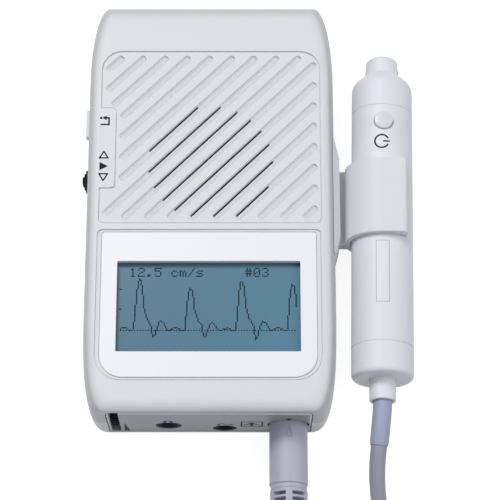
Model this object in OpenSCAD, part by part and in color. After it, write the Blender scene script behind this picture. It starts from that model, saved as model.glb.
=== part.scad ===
// Pocket vascular doppler with a pencil probe, lying on its back.
// +X points to the probe side, +Y to the top end, +Z out of the front face.
// The origin is on the rear face, in the middle of the housing.

/* [Housing] */
// Width of the housing at its widest
body_w = 78.4; // [78:0.2:84]
// Length of the housing
body_l = 138; // [136:1:146]
// Thickness of the housing
body_t = 28; // [28:0.5:31]
// Height of the joint between the rear and the front case
seam_z = 13.5; // [13:0.5:14.5]
// Wall of both cases
wall = 2; // [1.8:0.1:2.2]
// Floor of the rear case
floor_t = 2.6; // [2.4:0.1:3]
// Height of the end panel
panel_h = 20.8; // [20.4:0.2:21.2]

/* [Speaker grille] */
// Radius of the loudspeaker behind the grille
speaker_r = 20; // [18:0.5:20]
// Distance between the diagonal grooves
groove_pitch = 5; // [4.6:0.1:5.6]
// Width of a groove
groove_w = 1.7; // [1.4:0.1:2]
// Width of the slit in the grooves over the loudspeaker
slit_w = 0.45; // [0.35:0.05:0.6]

/* [Display] */
// Width of the display window
window_w = 56.4; // [52:0.4:57]
// Height of the display window
window_h = 29.3; // [26:0.1:30]

/* [Controls and sockets] */
// Length of the mode button along the side
button_l = 9.3; // [8:0.1:10]
// Length of the jog lever's thumb piece
jog_l = 7.6; // [7:0.1:8]
// Radius of the volume wheel
wheel_r = 9; // [8.6:0.1:9.1]
// Radius of the hole in the two small jacks
jack_r = 1.8; // [1.7:0.05:1.9]
// Radius of the probe plug
plug_r = 5.9; // [5.7:0.05:6]

/* [Batteries] */
// Number of cells side by side
cells = 4; // [3:1:4]
// Diameter of a cell
cell_d = 14.2; // [13.8:0.1:14.3]
// Length of a cell with its contact
cell_l = 50.2; // [49:0.1:51]

/* [Probe] */
// Diameter of the probe
probe_d = 19.5; // [19:0.1:20]
// Diameter of the sensing tip
tip_d = 10.4; // [9.4:0.2:11]
// Length of the probe's clip
clip_l = 25; // [22:0.5:27]
// Wall of the probe's clip
clip_t = 1.75; // [1.5:0.05:2]
// Diameter of the probe's push button
probe_button_d = 6; // [5.4:0.1:6.4]

/* [Cord] */
// Diameter of the cord
cord_d = 4.5; // [4.3:0.1:4.6]

/* [Hidden] */

// Fineness of turned parts, and of arcs drawn as short straight pieces
turned_fn = 96;
corner_steps = 11;
arc_step = 15;
// Clearance of a part that slides, and of one that only lies against another
slide_gap = 0.2;
seat_gap = 0.1;
// A cut reaches this far past the face that it opens
over = 1;

// Room between two cells, beside the outer ones, and beside their bay
cell_room = 0.4;
bay_room = 0.6;
side_room = 9.7;
// The housing is as wide as asked, or as its cells need
case_w = max(body_w, cells * (cell_d + cell_room) + bay_room + 2 * side_room);
// Ends of the housing
bottom_y = -body_l / 2;
top_y = body_l / 2;
// Rounding of the plan's corners, across and along the housing; a foot corner is squarer than an ellipse
foot_x = 7;
foot_y = 36;
foot_power = 3;
head_x = 5.5;
head_y = 26;
// How far the front's edges and the rear's edges round inwards
shoulder_side = 4.7;
shoulder_top = 17;
shoulder_bottom = 5;
back_side = 3.5;
back_top = 3;
back_bottom = 0.6;
round_steps = 10;
inner_steps = 5;
// The lip of the rear case that stands in the front case
lip_h = 1.2;
lip_t = wall / 2 - 0.05;

// Field of the grille: a shallow recess with a notch for the side controls' signs
field_w = case_w - 8.8;
field_r = 6.5;
field_depth = 0.35;
grille_top_y = top_y - 18.4;
grille_bottom_y = bottom_y + 60.3;
notch_x = -case_w / 2 + 9.2;
notch_low_y = grille_bottom_y + 12;
notch_high_y = notch_low_y + 27.3;
notch_r = 1.5;
groove_depth = 0.85;
groove_margin_x = 2.2;
groove_margin_y = 2.4;
groove_count = 17;
// The middle groove runs through this point of the grille
groove_mid_x = 14;
groove_mid_y = grille_top_y - 16.2;
speaker_x = 0.4;
speaker_y = grille_bottom_y + 20.2;

// Field of the display: a recess with big lower corners, and the label in it
display_x = -0.25;
display_w = case_w - 8.9;
display_top_y = grille_bottom_y - 2;
display_bottom_y = bottom_y + 9.3;
display_depth = 0.3;
display_r_top = 1.8;
display_r_low = 8;
label_side = 1.65;
label_rim = 1.05;
label_r_top = 0.8;
window_x = -0.3;
window_y = bottom_y + 33.1;

// Stack behind the front wall
ceiling_z = body_t - wall;
cloth_t = 0.3;
lcd_h = 5.2;
lcd_w = 61.2;
lcd_l = 40;
lcd_wall = 0.5;
board_t = 1.6;
board_z = ceiling_z - lcd_h - seat_gap - board_t;
board_half = 30.6;
board_head_t = 1.1;
board_low_y = bottom_y + 18;
board_high_y = top_y - 9;
magnet_r = 12;
// Voice coil's former and the floor of the loudspeaker's frame
coil_former_r = 4;
frame_floor_z = ceiling_z - 4.8;
frame_low_z = ceiling_z - 5.4;

// Controls on the left side
control_z = board_z - 2.1;
side_x = -case_w / 2;
inner_side_x = side_x + wall;
button_y = notch_high_y - 1.2;
button_h = 3;
button_proud = 0.9;
button_travel = 0.8;
flange_t = 0.8;
flange_h = button_h + 1.6;
// The joint lies as asked, or lower so that its lip stays under the mode button's flange
joint_z = min(seam_z, control_z - flange_h / 2 - lip_h);
jog_y = notch_low_y + 6.3;
jog_h = 3.2;
jog_proud = 1.9;
jog_travel = 0.5;
jog_axis_x = inner_side_x + 1.7;
jog_pin_r = 0.7;
jog_hub_r = 1.5;
switch_h = 4.2;
switch_front_x = inner_side_x + 2.5;
ear_low_y = jog_y - 7.6;
ear_high_y = button_y + 6.6;
ear_x = inner_side_x + 2.3;

// Panel at the lower end with its sockets, and the board behind it
panel_w = 62.6;
panel_t = 2;
panel_y = bottom_y + 1.3;
panel_low_z = 1;
panel_r = 2;
inner_panel_y = panel_y + panel_t;
io_y = panel_y + 14.4;
io_t = 1.4;
wheel_x = -29;
wheel_w = 2.2;
wheel_z = 11.4;
wheel_y = bottom_y + 0.1 + wheel_r;
wheel_teeth = 40;
wheel_shaft_r = 1.25;
wheel_slot_w = 2.8;
pot_half = 5.5;
headphone_x = -12.7;
headphone_z = 9;
headphone_r = 4;
output_x = 4.6;
output_z = 5.4;
output_r = 3.7;
jack_body_w = 9;
jack_depth = 13;
jack_wall = 0.75;
output_body_h = 6;
socket_x = 24.2;
socket_z = 10.2;
socket_r = 7;
socket_hole_r = plug_r + 0.55;
insert_r = plug_r - 1.15;
insert_l = 6;
socket_bore_r = insert_r + 0.3;
pin_count = 6;
pin_r = 0.35;
pin_circle_r = 2.2;

// Batteries, their bay and cover
cover_low_y = 2;
cover_t = 1.5;
cover_clear = slide_gap;
dovetail = 0.8;
cell_pitch = cell_d + cell_room;
cell_z = cover_t + 0.3 + cell_d / 2;
bay_w = cells * cell_pitch + bay_room;
bay_wall = 1.2;
plate_t = 0.4;
spring_l = 2.2;
spring_wide_r = 4.5;
spring_top_r = 2.6;
plate_half = 5.5;
button_end_r = 2.7;
bay_l = cell_l + spring_l + 2 * plate_t;
bay_low_y = cover_low_y + 1.4;
bay_top_z = min(cell_z + cell_d / 2 + 0.6, board_z - board_head_t - 0.4);
// The bay's side walls stay under the switches
bay_side_z = cell_z + 1.5;
cover_half = bay_w / 2 + 0.5;

// Screws
screw_r = 1.2;
screw_head_r = 2.3;
screw_head_z = 0.5;
screw_seat_z = 1.9;
screw_x = case_w / 2 - 5.7;
screw_top_y = top_y - 19;
screw_low_y = bottom_y + 22;
boss_r = 2.4;
board_screw_x = board_half - 3.1;
board_screw_y = [board_high_y - 4, grille_bottom_y + 0.7];

// Probe, seen along its own line
probe_r = probe_d / 2;
probe_x = case_w / 2 + 15.2;
probe_z = 14.5;
// The clip holds the probe at this angle to the housing
probe_tilt = 1.1;
probe_wall = 1.6;
spigot_r = probe_r - probe_wall - 0.05;
tip_r = tip_d / 2;
tip_y = 53.5;
tip_low_y = 41.2;
// The shoulder falls from the tip's neck to the full radius, in shares of its width and length
neck_y = 48.2;
neck_r = tip_r + 0.4;
shoulder_l = 6.7;
shoulder_line = [[0, 0], [0.06, 0.09], [0.27, 0.2], [0.45, 0.31], [0.63, 0.43], [0.78, 0.54], [0.88, 0.66],
    [0.95, 0.79], [1, 1]];
cap_y = 33.7;
rear_cap_y = -45.6;
probe_end_y = -55.6;
// Depth of the joints' spigots
spigot_l = 1.8;
boot_r = 4.1;
boot_bore_r = 3.1;
boot_end_y = -62.4;
sheath_r = 2.95;
probe_button_y = 28;
probe_button_travel = 0.5;
probe_button_proud = 0.8;
clip_gap = 0.35;
clip_r = probe_r + clip_gap;
clip_mid_y = 1.9;
clip_tab_x = 7.3;
clip_corner_r = 1.2;
seat_x = case_w / 2 - 0.6;
seat_mid_y = clip_mid_y + 0.6;
seat_low_y = seat_mid_y - clip_l / 2 - 7;
seat_high_y = seat_mid_y + clip_l / 2 + 7;
seat_low_z = 4;
seat_high_z = body_t - 3.6;
pad_t = 2.1;
pad_slope = 6.2;
// Height of the pad's rim, and of its slopes below and above
pad_rim = 0.4;
pad_low_slope = 2;
pad_high_slope = 3;
neck_low_z = 9.5;
neck_high_z = 13.5;
holder_screw_z = body_t - 10.4;
holder_screw_dy = 8;
holder_head_x = case_w / 2 - wall - 0.25;

// Plug
plug_reach = 19;
plug_end_y = bottom_y - plug_reach;
collar_l = 1.4;
nut_l = 14.6;
nut_end_r = 3.8;
nut_bore_r = cord_d / 2 + 0.3;
nut_rows = 7;
nut_row_pitch = 1.85;
nut_slot_l = 1.15;
nut_slot_angle = 46;
// Half the angle of the spines above and below
nut_spine_angle = 10;

// Cord: its route from the probe, the stretch from its store to the plug, and the coil
cord_r = cord_d / 2;
cord_sides = 8;
sheath_points = 5;
coil_out_y = 101;
coil_y = bottom_y - coil_out_y;
coil_turn_r = 31;
// From the probe: offsets from its line; the part past bend_y stretches to the coil
bend_y = -106;
probe_bends = [[0, -57, 0], [0, -62.5, 0], [-0.2, -66, -0.1], [-0.65, -71, -0.5], [-1.1, -76, -1.3],
    [-1.5, -81, -2.6], [-1.5, -86, -4.4], [-1, -91, -6.6], [-0.1, -96, -8.8], [1.3, -101, -10.6],
    [3.2, -106, -11.7], [5.5, -111, -12.15], [8, -116, -12.2], [10.8, -121.5, -12.2], [13.6, -127.5, -12.2],
    [16.1, -134, -12.2], [18, -141, -12.2], [19.1, -148, -12.2], [19.65, -155, -12.2], [19.8, -162, -12.2]];
probe_route = [for (p = probe_bends)
    let (y = p.y < bend_y ? bend_y + (p.y - bend_y) * (coil_y - bend_y) / (-162 - bend_y) : p.y)
    [probe_x + p.x + (y - clip_mid_y) * tan(probe_tilt), y, probe_z + p.z]];
coil_x = probe_route[len(probe_route) - 1].x - coil_turn_r;
// To the plug: up from the coil's top turn, across in an S, then straight so that the plug can be pulled
straight_y = plug_end_y - 28;
s_steps = 10;
plug_route = concat(
    [for (i = [0:s_steps]) let (u = i / s_steps, s = (1 - cos(180 * u)) / 2)
        [coil_x - coil_turn_r + (socket_x - coil_x + coil_turn_r) * s, coil_y + (straight_y - coil_y) * u,
            1.5 * cord_d + 0.05 + (socket_z - 1.5 * cord_d - 0.05) * s - 0.9 * sin(180 * u)]],
    [[socket_x, straight_y + 6, socket_z], [socket_x, plug_end_y - 4, socket_z]]);
coil_in_r = 14;
coil_out_r = 33.3;

// A quarter of a rounded edge: how far it has come in at the share t of its height
function eased(t, n) = 1 - pow(1 - pow(min(t, 1), n), 1 / n);

// Share of the height at step i of a rounded edge, with short steps near its end
function round_share(i, steps) = pow(sin(90 * i / steps), 2 / 3);

// Plan outline of the housing, moved in at its sides, top end and bottom end
function outline(side, top, bottom) =
    let (half = case_w / 2 - side, high = top_y - top, low = bottom_y + bottom, e = 2 / foot_power,
        right = concat(
            [for (i = [0:corner_steps]) let (a = 90 * i / corner_steps)
                [half - foot_x * (1 - pow(sin(a), e)), low + foot_y * (1 - pow(cos(a), e))]],
            [for (i = [0:corner_steps]) let (a = 90 * i / corner_steps)
                [half - head_x * (1 - cos(a)), high - head_y * (1 - sin(a))]]))
    concat(right, [for (i = [len(right) - 1:-1:0]) [-right[i].x, right[i].y]]);

// Rows of a loft, each a height and the outline's three insets
function front_rows(height, inset, steps) = [for (i = [0:steps]) let (t = round_share(i, steps))
    [joint_z + height * t, inset + shoulder_side * eased(t, 3), inset + shoulder_top * eased(t, 4),
        inset + shoulder_bottom * eased(t, 3)]];
function back_rows(height, inset, steps) = [for (i = [steps:-1:0]) let (t = round_share(i, steps))
    [joint_z - height * t, inset + back_side * eased(t, 3), inset + back_top * eased(t, 3),
        inset + back_bottom * eased(t, 3)]];

module loft(rows) {
    n = len(outline(0, 0, 0));
    last = (len(rows) - 1) * n;
    polyhedron(
        points = [for (row = rows) for (p = outline(row[1], row[2], row[3])) [p.x, p.y, row[0]]],
        faces = concat(
            [[for (j = [0:n - 1]) j]],
            [for (k = [0:len(rows) - 2]) for (j = [0:n - 1]) let (a = k * n + j, b = k * n + (j + 1) % n)
                each [[a, a + n, b + n], [a, b + n, b]]],
            [[for (j = [n - 1:-1:0]) last + j]]));
}

module front_form() loft(front_rows(body_t - joint_z, 0, round_steps));
module rear_form() loft(back_rows(joint_z, 0, round_steps));
module front_cavity() loft(concat([[joint_z - over, wall, wall, wall]],
    front_rows(ceiling_z - joint_z, wall, inner_steps)));
module rear_cavity() loft(concat(back_rows(joint_z - floor_t, wall, inner_steps),
    [[joint_z + lip_h, wall, wall, wall]]));
// The band between two insets of the outline at the seam
module seam_band(outer, inner, low, high) difference() {
    linear_extrude_at(low, high) polygon(outline(outer, outer, outer));
    linear_extrude_at(low - over, high + over) polygon(outline(inner, inner, inner));
}

module linear_extrude_at(low, high) translate([0, 0, low]) linear_extrude(high - low) children();

// A block between two corners
module block(low, high) translate(low) cube(high - low);

// A turned part whose line lies along Y; its profile's points are radius and Y
module turned(x, z, profile) translate([x, 0, z]) rotate([-90, 0, 0])
    rotate_extrude($fn = turned_fn) polygon(profile);

module rod_y(x, z, r, low, high) translate([x, low, z]) rotate([-90, 0, 0])
    cylinder(r = r, h = high - low, $fn = turned_fn);

module rod_x(y, z, r, low, high) translate([low, y, z]) rotate([0, 90, 0])
    cylinder(r = r, h = high - low, $fn = 48);

module rod_z(x, y, r, low, high) translate([x, y, low])
    cylinder(r = r, h = high - low, $fn = 48);

// A rectangle whose lower and upper corners have their own radii
function arc(c, r, from) = [for (a = [0:arc_step:90]) c + r * [cos(from + a), sin(from + a)]];
function rounded(x0, x1, y0, y1, r_low, r_high) = concat(
    arc([x1 - r_low, y0 + r_low], r_low, -90), arc([x1 - r_high, y1 - r_high], r_high, 0),
    arc([x0 + r_high, y1 - r_high], r_high, 90), arc([x0 + r_low, y0 + r_low], r_low, 180));

// A bar with round ends from p to q
function bar(p, q, w) = let (a = atan2(q.y - p.y, q.x - p.x)) concat(
    [for (b = [-90:30:90]) q + w / 2 * [cos(a + b), sin(a + b)]],
    [for (b = [90:30:270]) p + w / 2 * [cos(a + b), sin(a + b)]]);

// Grooves of the grille. Each lies on a line y = x - c; its lower end stops at the field's left or
// lower edge or at the notch, its upper end at the field's top or right edge.
groove_low_x = -field_w / 2 + groove_margin_x;
groove_high_x = field_w / 2 - groove_margin_x;
groove_low_y = grille_bottom_y + groove_margin_y;
groove_high_y = grille_top_y - groove_margin_y;
groove_notch_x = notch_x + groove_margin_x;
groove_notch_y = notch_high_y + 1.6;
function groove_offset(k) = groove_mid_x - groove_mid_y
    + (k - (groove_count - 1) / 2) * groove_pitch * sqrt(2);
function groove_start(c) = let (y = groove_notch_x - c)
    y > groove_notch_y ? max(groove_low_x, c + groove_notch_y)
    : y > notch_low_y - 1.6 ? groove_notch_x
    : max(groove_low_x, c + groove_low_y);
function groove_end(c) = min(groove_high_x, c + groove_high_y);

module grooves() for (k = [0:groove_count - 1]) {
    c = groove_offset(k);
    from = groove_start(c);
    to = groove_end(c);
    if (to - from > groove_w)
        linear_extrude_at(body_t - field_depth - groove_depth, body_t + over)
            polygon(bar([from, from - c], [to, to - c], groove_w));
}

// Slits through the grooves where they cross the loudspeaker, along each groove's upper side
module slits() for (k = [0:groove_count - 1]) {
    c = groove_offset(k);
    off = (groove_w - slit_w) / 2 - 0.1;
    away = abs(speaker_x - speaker_y - c) / sqrt(2);
    if (away < speaker_r - 1.5) {
        reach = sqrt(pow(speaker_r, 2) - pow(away, 2)) / sqrt(2) - 0.5;
        mid = (speaker_x + speaker_y + c) / 2;
        low = max(mid - reach, groove_start(c));
        high = min(mid + reach, groove_end(c));
        shift = off / sqrt(2) * [-1, 1];
        linear_extrude_at(ceiling_z - over, body_t)
            polygon(bar([low, low - c] + shift, [high, high - c] + shift, slit_w));
    }
}

module grille_field() difference() {
    linear_extrude_at(body_t - field_depth, body_t + over) difference() {
        polygon(rounded(-field_w / 2, field_w / 2, grille_bottom_y, grille_top_y, 1.5, field_r));
        polygon(rounded(-case_w, notch_x, notch_low_y, notch_high_y, notch_r, notch_r));
    }
}

module display_outline(side, end, top_r) polygon(rounded(
    display_x - display_w / 2 + side, display_x + display_w / 2 - side,
    display_bottom_y + end, display_top_y - end, display_r_low - end, top_r));

module window(low, high, grow = 0) block(
    [window_x - window_w / 2 - grow, window_y - window_h / 2 - grow, low],
    [window_x + window_w / 2 + grow, window_y + window_h / 2 + grow, high]);

// The opening for the end panel, with the panel's own rounded upper corners
module panel_outline(grow) polygon(rounded(-panel_w / 2 - grow, panel_w / 2 + grow,
    panel_low_z - grow, panel_low_z + panel_h + grow, 0.3, panel_r));
module panel_prism(low, high, grow) translate([0, high, 0]) rotate([90, 0, 0])
    linear_extrude(high - low) panel_outline(grow);

// The flat seat of the probe's holder on the right side
module holder_seat() block([seat_x, seat_low_y - seat_gap, seat_low_z - seat_gap],
    [case_w, seat_high_y + seat_gap, seat_high_z + seat_gap]);

module holder_screw_holes(r, low, high) for (dy = [-1, 1])
    rod_x(clip_mid_y + dy * holder_screw_dy, holder_screw_z, r, low, high);

module case_posts(r, low, high) for (x = [-screw_x, screw_x]) for (y = [screw_low_y, screw_top_y])
    rod_z(x, y, r, low, high);

module board_posts(r, low, high) for (x = [-board_screw_x, board_screw_x]) for (y = board_screw_y)
    rod_z(x, y, r, low, high);

module front_case() color("gainsboro") {
    difference() {
        front_form();
        front_cavity();
        seam_band(-over, wall + over, joint_z - over, joint_z);
        seam_band(wall - lip_t - seat_gap, wall + over, joint_z - over, joint_z + lip_h + seat_gap);
        grille_field();
        grooves();
        slits();
        linear_extrude_at(body_t - display_depth, body_t + over) display_outline(0, 0, display_r_top);
        window(ceiling_z - over, body_t);
        panel_prism(bottom_y - over, inner_panel_y, seat_gap);
        block([inner_side_x * 1.2, button_y - button_l / 2 - slide_gap,
            control_z - button_h / 2 - slide_gap],
            [inner_side_x + over, button_y + button_l / 2 + slide_gap,
            control_z + button_h / 2 + slide_gap]);
        block([inner_side_x * 1.2, jog_y - jog_l / 2 - 0.9, control_z - jog_h / 2 - 0.3],
            [inner_side_x + over, jog_y + jog_l / 2 + 0.9, control_z + jog_h / 2 + 0.3]);
        holder_seat();
        holder_screw_holes(screw_r - 0.2, seat_x - 2 * wall, seat_x + over);
    }
    difference() {
        case_posts(boss_r, joint_z + seat_gap, ceiling_z + 0.5);
        case_posts(screw_r - 0.3, joint_z - over, ceiling_z - 2);
    }
    difference() {
        board_posts(boss_r, board_z + board_t, ceiling_z + 0.5);
        board_posts(screw_r - 0.3, board_z, ceiling_z - 1);
    }
    // The wall that holds the loudspeaker's rim
    difference() {
        rod_z(speaker_x, speaker_y, speaker_r + 1.6, ceiling_z - 2, ceiling_z + 0.2);
        rod_z(speaker_x, speaker_y, speaker_r + 0.7, ceiling_z - 3, ceiling_z + 0.3);
    }
}

// Cross-section of the battery cover, wider inside than outside so that it can't drop out
module cover_section(grow) polygon([[-cover_half - grow, 0], [cover_half + grow, 0],
    [cover_half + dovetail + grow, cover_t + grow], [-cover_half - dovetail - grow, cover_t + grow]]);
module cover_prism(low, high, grow) translate([0, high, 0]) rotate([90, 0, 0])
    linear_extrude(high - low) cover_section(grow);

module rear_case() color("gainsboro") difference() {
    union() {
        difference() {
            rear_form();
            rear_cavity();
        }
        seam_band(wall - lip_t, wall, joint_z - 0.3, joint_z + lip_h);
        // Walls of the battery bay; the contact plates stand against the high ones
        difference() {
            union() {
                block([-bay_w / 2 - bay_wall, bay_low_y - bay_wall, floor_t - 0.3],
                    [bay_w / 2 + bay_wall, bay_low_y + bay_l + bay_wall, bay_side_z]);
                block([-bay_w / 2, bay_low_y - bay_wall, floor_t - 0.3],
                    [bay_w / 2, bay_low_y + bay_l + bay_wall, bay_top_z]);
            }
            block([-bay_w / 2, bay_low_y, 0], [bay_w / 2, bay_low_y + bay_l, bay_top_z + over]);
        }
        case_posts(boss_r, floor_t - 0.3, joint_z - seat_gap);
    }
    block([-bay_w / 2, bay_low_y, -over], [bay_w / 2, bay_low_y + bay_l, floor_t + over]);
    cover_prism(cover_low_y - cover_clear, top_y + over, cover_clear);
    block([-cover_half - cover_clear, cover_low_y - cover_clear, -over],
        [cover_half + cover_clear, top_y + over, 0]);
    panel_prism(bottom_y - over, inner_panel_y, seat_gap);
    // Pocket under the volume wheel
    block([wheel_x - wheel_slot_w / 2, inner_panel_y - over, panel_low_z + 0.6],
        [wheel_x + wheel_slot_w / 2, wheel_y + wheel_r + 1, floor_t + over]);
    holder_seat();
    case_posts(screw_r + 0.2, -over, joint_z);
    case_posts(screw_head_r + 0.2, -over, screw_seat_z);
}

module end_panel() color("silver") difference() {
    panel_prism(panel_y, inner_panel_y, 0);
    block([wheel_x - wheel_slot_w / 2, panel_y - over, panel_low_z + 1],
        [wheel_x + wheel_slot_w / 2, inner_panel_y + over, panel_low_z + panel_h + over]);
    rod_y(headphone_x, headphone_z, headphone_r + seat_gap, panel_y - over, inner_panel_y + over);
    rod_y(output_x, output_z, output_r + seat_gap, panel_y - over, inner_panel_y + over);
    rod_y(socket_x, socket_z, socket_hole_r, panel_y - over, inner_panel_y + over);
}

// The cover slides out of the top end; its outer end follows the rear case's rounding
module battery_cover() color("gainsboro") difference() {
    intersection() {
        cover_prism(cover_low_y, top_y + over, 0);
        rear_form();
    }
    // Grip of the thumb
    for (i = [0:6]) {
        half = 9 - abs(i - 3) * 0.8;
        y = top_y - 22 + i * 2;
        block([-half, y, -over], [half, y + 1, 0.5]);
    }
}

module display_label() color("white") linear_extrude_at(body_t - display_depth, body_t - 0.05)
    difference() {
        display_outline(label_side, label_rim, label_r_top);
        translate([window_x - window_w / 2, window_y - window_h / 2]) square([window_w, window_h]);
    }

// A box around the display's middle, moved in by an inset
module lcd_block(inset, low, high) block(
    [window_x - lcd_w / 2 + inset, window_y - lcd_l / 2 + inset, low],
    [window_x + lcd_w / 2 - inset, window_y + lcd_l / 2 - inset, high]);

lcd_low_z = board_z + board_t;
lcd_top_z = lcd_low_z + lcd_h;

module lcd_frame() color("dimgray") difference() {
    lcd_block(0, lcd_low_z, lcd_top_z);
    lcd_block(lcd_wall, lcd_low_z - over, lcd_top_z - lcd_wall);
    window(lcd_low_z, lcd_top_z + over, 0.8);
}

lcd_glass_z = lcd_top_z - lcd_wall - 2.3;

module lcd_glass() color("cadetblue") lcd_block(lcd_wall + seat_gap, lcd_glass_z, lcd_top_z - lcd_wall);

module backlight() color("honeydew") lcd_block(lcd_wall + seat_gap, lcd_low_z, lcd_glass_z);

module main_board() color("darkgreen") linear_extrude_at(board_z, board_z + board_t) difference() {
    union() {
        translate([-board_half, board_low_y]) square([2 * board_half, board_high_y - board_low_y]);
        translate([ear_x, ear_low_y]) square([-board_half - ear_x + over, ear_high_y - ear_low_y]);
    }
    translate([speaker_x, speaker_y]) circle(r = magnet_r + 1, $fn = 64);
    for (x = [-board_screw_x, board_screw_x]) for (y = board_screw_y)
        translate([x, y]) circle(r = screw_r, $fn = 32);
}

module io_board() color("darkgreen") block([wheel_x + wheel_w / 2 + 1.2, io_y, floor_t],
    [board_half, io_y + io_t, board_z - seat_gap]);

module speaker_frame() color("dimgray") translate([speaker_x, speaker_y, 0])
    rotate_extrude($fn = turned_fn) polygon([
        [speaker_r - 1, ceiling_z - cloth_t], [speaker_r + 0.5, ceiling_z - cloth_t],
        [speaker_r + 0.5, ceiling_z - cloth_t - 1.2], [speaker_r - 1, ceiling_z - cloth_t - 1.2],
        [magnet_r + 0.2, frame_low_z], [coil_former_r, frame_low_z], [coil_former_r, frame_floor_z],
        [magnet_r, frame_floor_z], [speaker_r - 1.6, ceiling_z - 1.15], [speaker_r - 1, ceiling_z - 1.15]]);

module speaker_cone() color("black") translate([speaker_x, speaker_y, 0])
    rotate_extrude($fn = turned_fn) polygon([
        [speaker_r - 1.05, ceiling_z - 0.7], [speaker_r - 2, ceiling_z - 0.6],
        [coil_former_r + 2, ceiling_z - 3], [coil_former_r, ceiling_z - 2.5], [0, ceiling_z - 2.1],
        [0, ceiling_z - 2.5], [coil_former_r, ceiling_z - 2.9], [coil_former_r, frame_floor_z + 0.02],
        [coil_former_r + 1, frame_floor_z + 0.02], [coil_former_r + 2, ceiling_z - 3.4],
        [speaker_r - 1.8, ceiling_z - 1.1], [speaker_r - 1.05, ceiling_z - 1.1]]);

module speaker_magnet() color("gray")
    rod_z(speaker_x, speaker_y, magnet_r, cell_z + cell_d / 2 + 0.9, frame_low_z);

module grille_cloth() color("black")
    rod_z(speaker_x, speaker_y, speaker_r + 0.6, ceiling_z - cloth_t + 0.02, ceiling_z - 0.02);

module volume_pot() color("darkslategray") {
    block([wheel_x + wheel_w / 2 + 0.2, inner_panel_y + 1, wheel_z - pot_half],
        [wheel_x + wheel_w / 2 + 4.2, io_y, wheel_z + pot_half]);
    rod_x(wheel_y, wheel_z, wheel_shaft_r, wheel_x - wheel_w / 2 - 0.4, wheel_x + wheel_w / 2 + 0.4);
}

module volume_wheel() color("black") translate([wheel_x - wheel_w / 2, wheel_y, wheel_z]) rotate([0, 90, 0])
    difference() {
        linear_extrude(wheel_w) polygon([for (i = [0:2 * wheel_teeth - 1])
            let (a = 180 * i / wheel_teeth, r = wheel_r - (i % 2) * 0.35) r * [cos(a), sin(a)]]);
        translate([0, 0, -over]) cylinder(r = wheel_shaft_r + 0.05, h = wheel_w + 2 * over, $fn = 48);
    }

module jack(x, z, face_r, low_z, high_z) color("black") difference() {
    union() {
        rod_y(x, z, face_r, panel_y + 0.2, inner_panel_y - 0.05);
        rod_y(x, z, jack_r + jack_wall, panel_y + 1, inner_panel_y + 1);
        block([x - jack_body_w / 2, inner_panel_y + seat_gap, low_z], [x + jack_body_w / 2, io_y, high_z]);
    }
    rod_y(x, z, jack_r, panel_y - over, panel_y + jack_depth);
    // Dished face round the hole
    turned(x, z, [[0, panel_y - over], [face_r - 0.7, panel_y - over], [face_r - 0.7, panel_y + 0.2],
        [jack_r + 0.5, panel_y + 0.8], [0, panel_y + 0.8]]);
}

module headphone_jack() jack(headphone_x, headphone_z, headphone_r,
    headphone_z - jack_body_w / 2, headphone_z + jack_body_w / 2);
module output_jack() jack(output_x, output_z, output_r, floor_t + 0.05, floor_t + output_body_h);

module probe_socket() color("black") turned(socket_x, socket_z, [
    [socket_bore_r, inner_panel_y + seat_gap], [socket_r, inner_panel_y + seat_gap],
    [socket_r, io_y], [0, io_y],
    [0, io_y - 2], [socket_bore_r, io_y - 2]]);

module socket_core() color("tan") difference() {
    rod_y(socket_x, socket_z, insert_r - 1.1, inner_panel_y + 2, io_y - 2);
    pins(pin_r + 0.15, inner_panel_y, inner_panel_y + insert_l);
}

module pins(r, low, high) for (i = [0:pin_count - 1]) let (a = 360 * i / pin_count)
    translate([socket_x + pin_circle_r * cos(a), low, socket_z + pin_circle_r * sin(a)]) rotate([-90, 0, 0])
        cylinder(r = r, h = high - low, $fn = 16);

function cell_x(i) = (i - (cells - 1) / 2) * cell_pitch;
cell_low_y = bay_low_y + plate_t;

// The cells lie head to tail; a cell's flat end stands on its spring
module battery_cells() color("slategray") for (i = [0:cells - 1]) {
    flip = i % 2;
    base = flip ? cell_low_y + cell_l : cell_low_y + spring_l;
    translate([cell_x(i), base, cell_z]) rotate([flip ? 90 : -90, 0, 0]) rotate_extrude($fn = 48)
        polygon([[0, 0], [cell_d / 2 - 0.6, 0], [cell_d / 2, 0.6], [cell_d / 2, cell_l - 1.6],
            [cell_d / 2 - 0.6, cell_l - 1], [button_end_r, cell_l - 1], [button_end_r, cell_l],
            [0, cell_l]]);
}

module battery_springs() color("silver") for (i = [0:cells - 1]) {
    flip = i % 2;
    base = flip ? cell_low_y + cell_l + spring_l : cell_low_y;
    translate([cell_x(i), base, cell_z]) rotate([flip ? 90 : -90, 0, 0])
        cylinder(r1 = spring_wide_r, r2 = spring_top_r, h = spring_l, $fn = 32);
}

module contact_plates() color("silver") for (i = [0:cells - 1])
    for (y = [bay_low_y, bay_low_y + bay_l - plate_t])
        block([cell_x(i) - plate_half, y, cell_z - plate_half],
            [cell_x(i) + plate_half, y + plate_t, cell_z + plate_half]);

module mode_switch() color("black") block([switch_front_x, button_y - 3, board_z - switch_h],
    [switch_front_x + 3.6, button_y + 3, board_z]);

module mode_button() color("whitesmoke") {
    block([side_x - button_proud, button_y - button_l / 2, control_z - button_h / 2],
        [inner_side_x + 0.3, button_y + button_l / 2, control_z + button_h / 2]);
    block([inner_side_x + 0.25, button_y - button_l / 2 - 0.9, control_z - flange_h / 2],
        [inner_side_x + 0.25 + flange_t, button_y + button_l / 2 + 0.9, control_z + flange_h / 2]);
    block([inner_side_x + 0.2, button_y - 1.5, control_z - 1],
        [switch_front_x - button_travel - slide_gap, button_y + 1.5, control_z + 1]);
}

jog_back_x = jog_axis_x + jog_hub_r + slide_gap;
jog_back_t = 0.5;
jog_plate_z = jog_h / 2 - 0.5;

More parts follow.
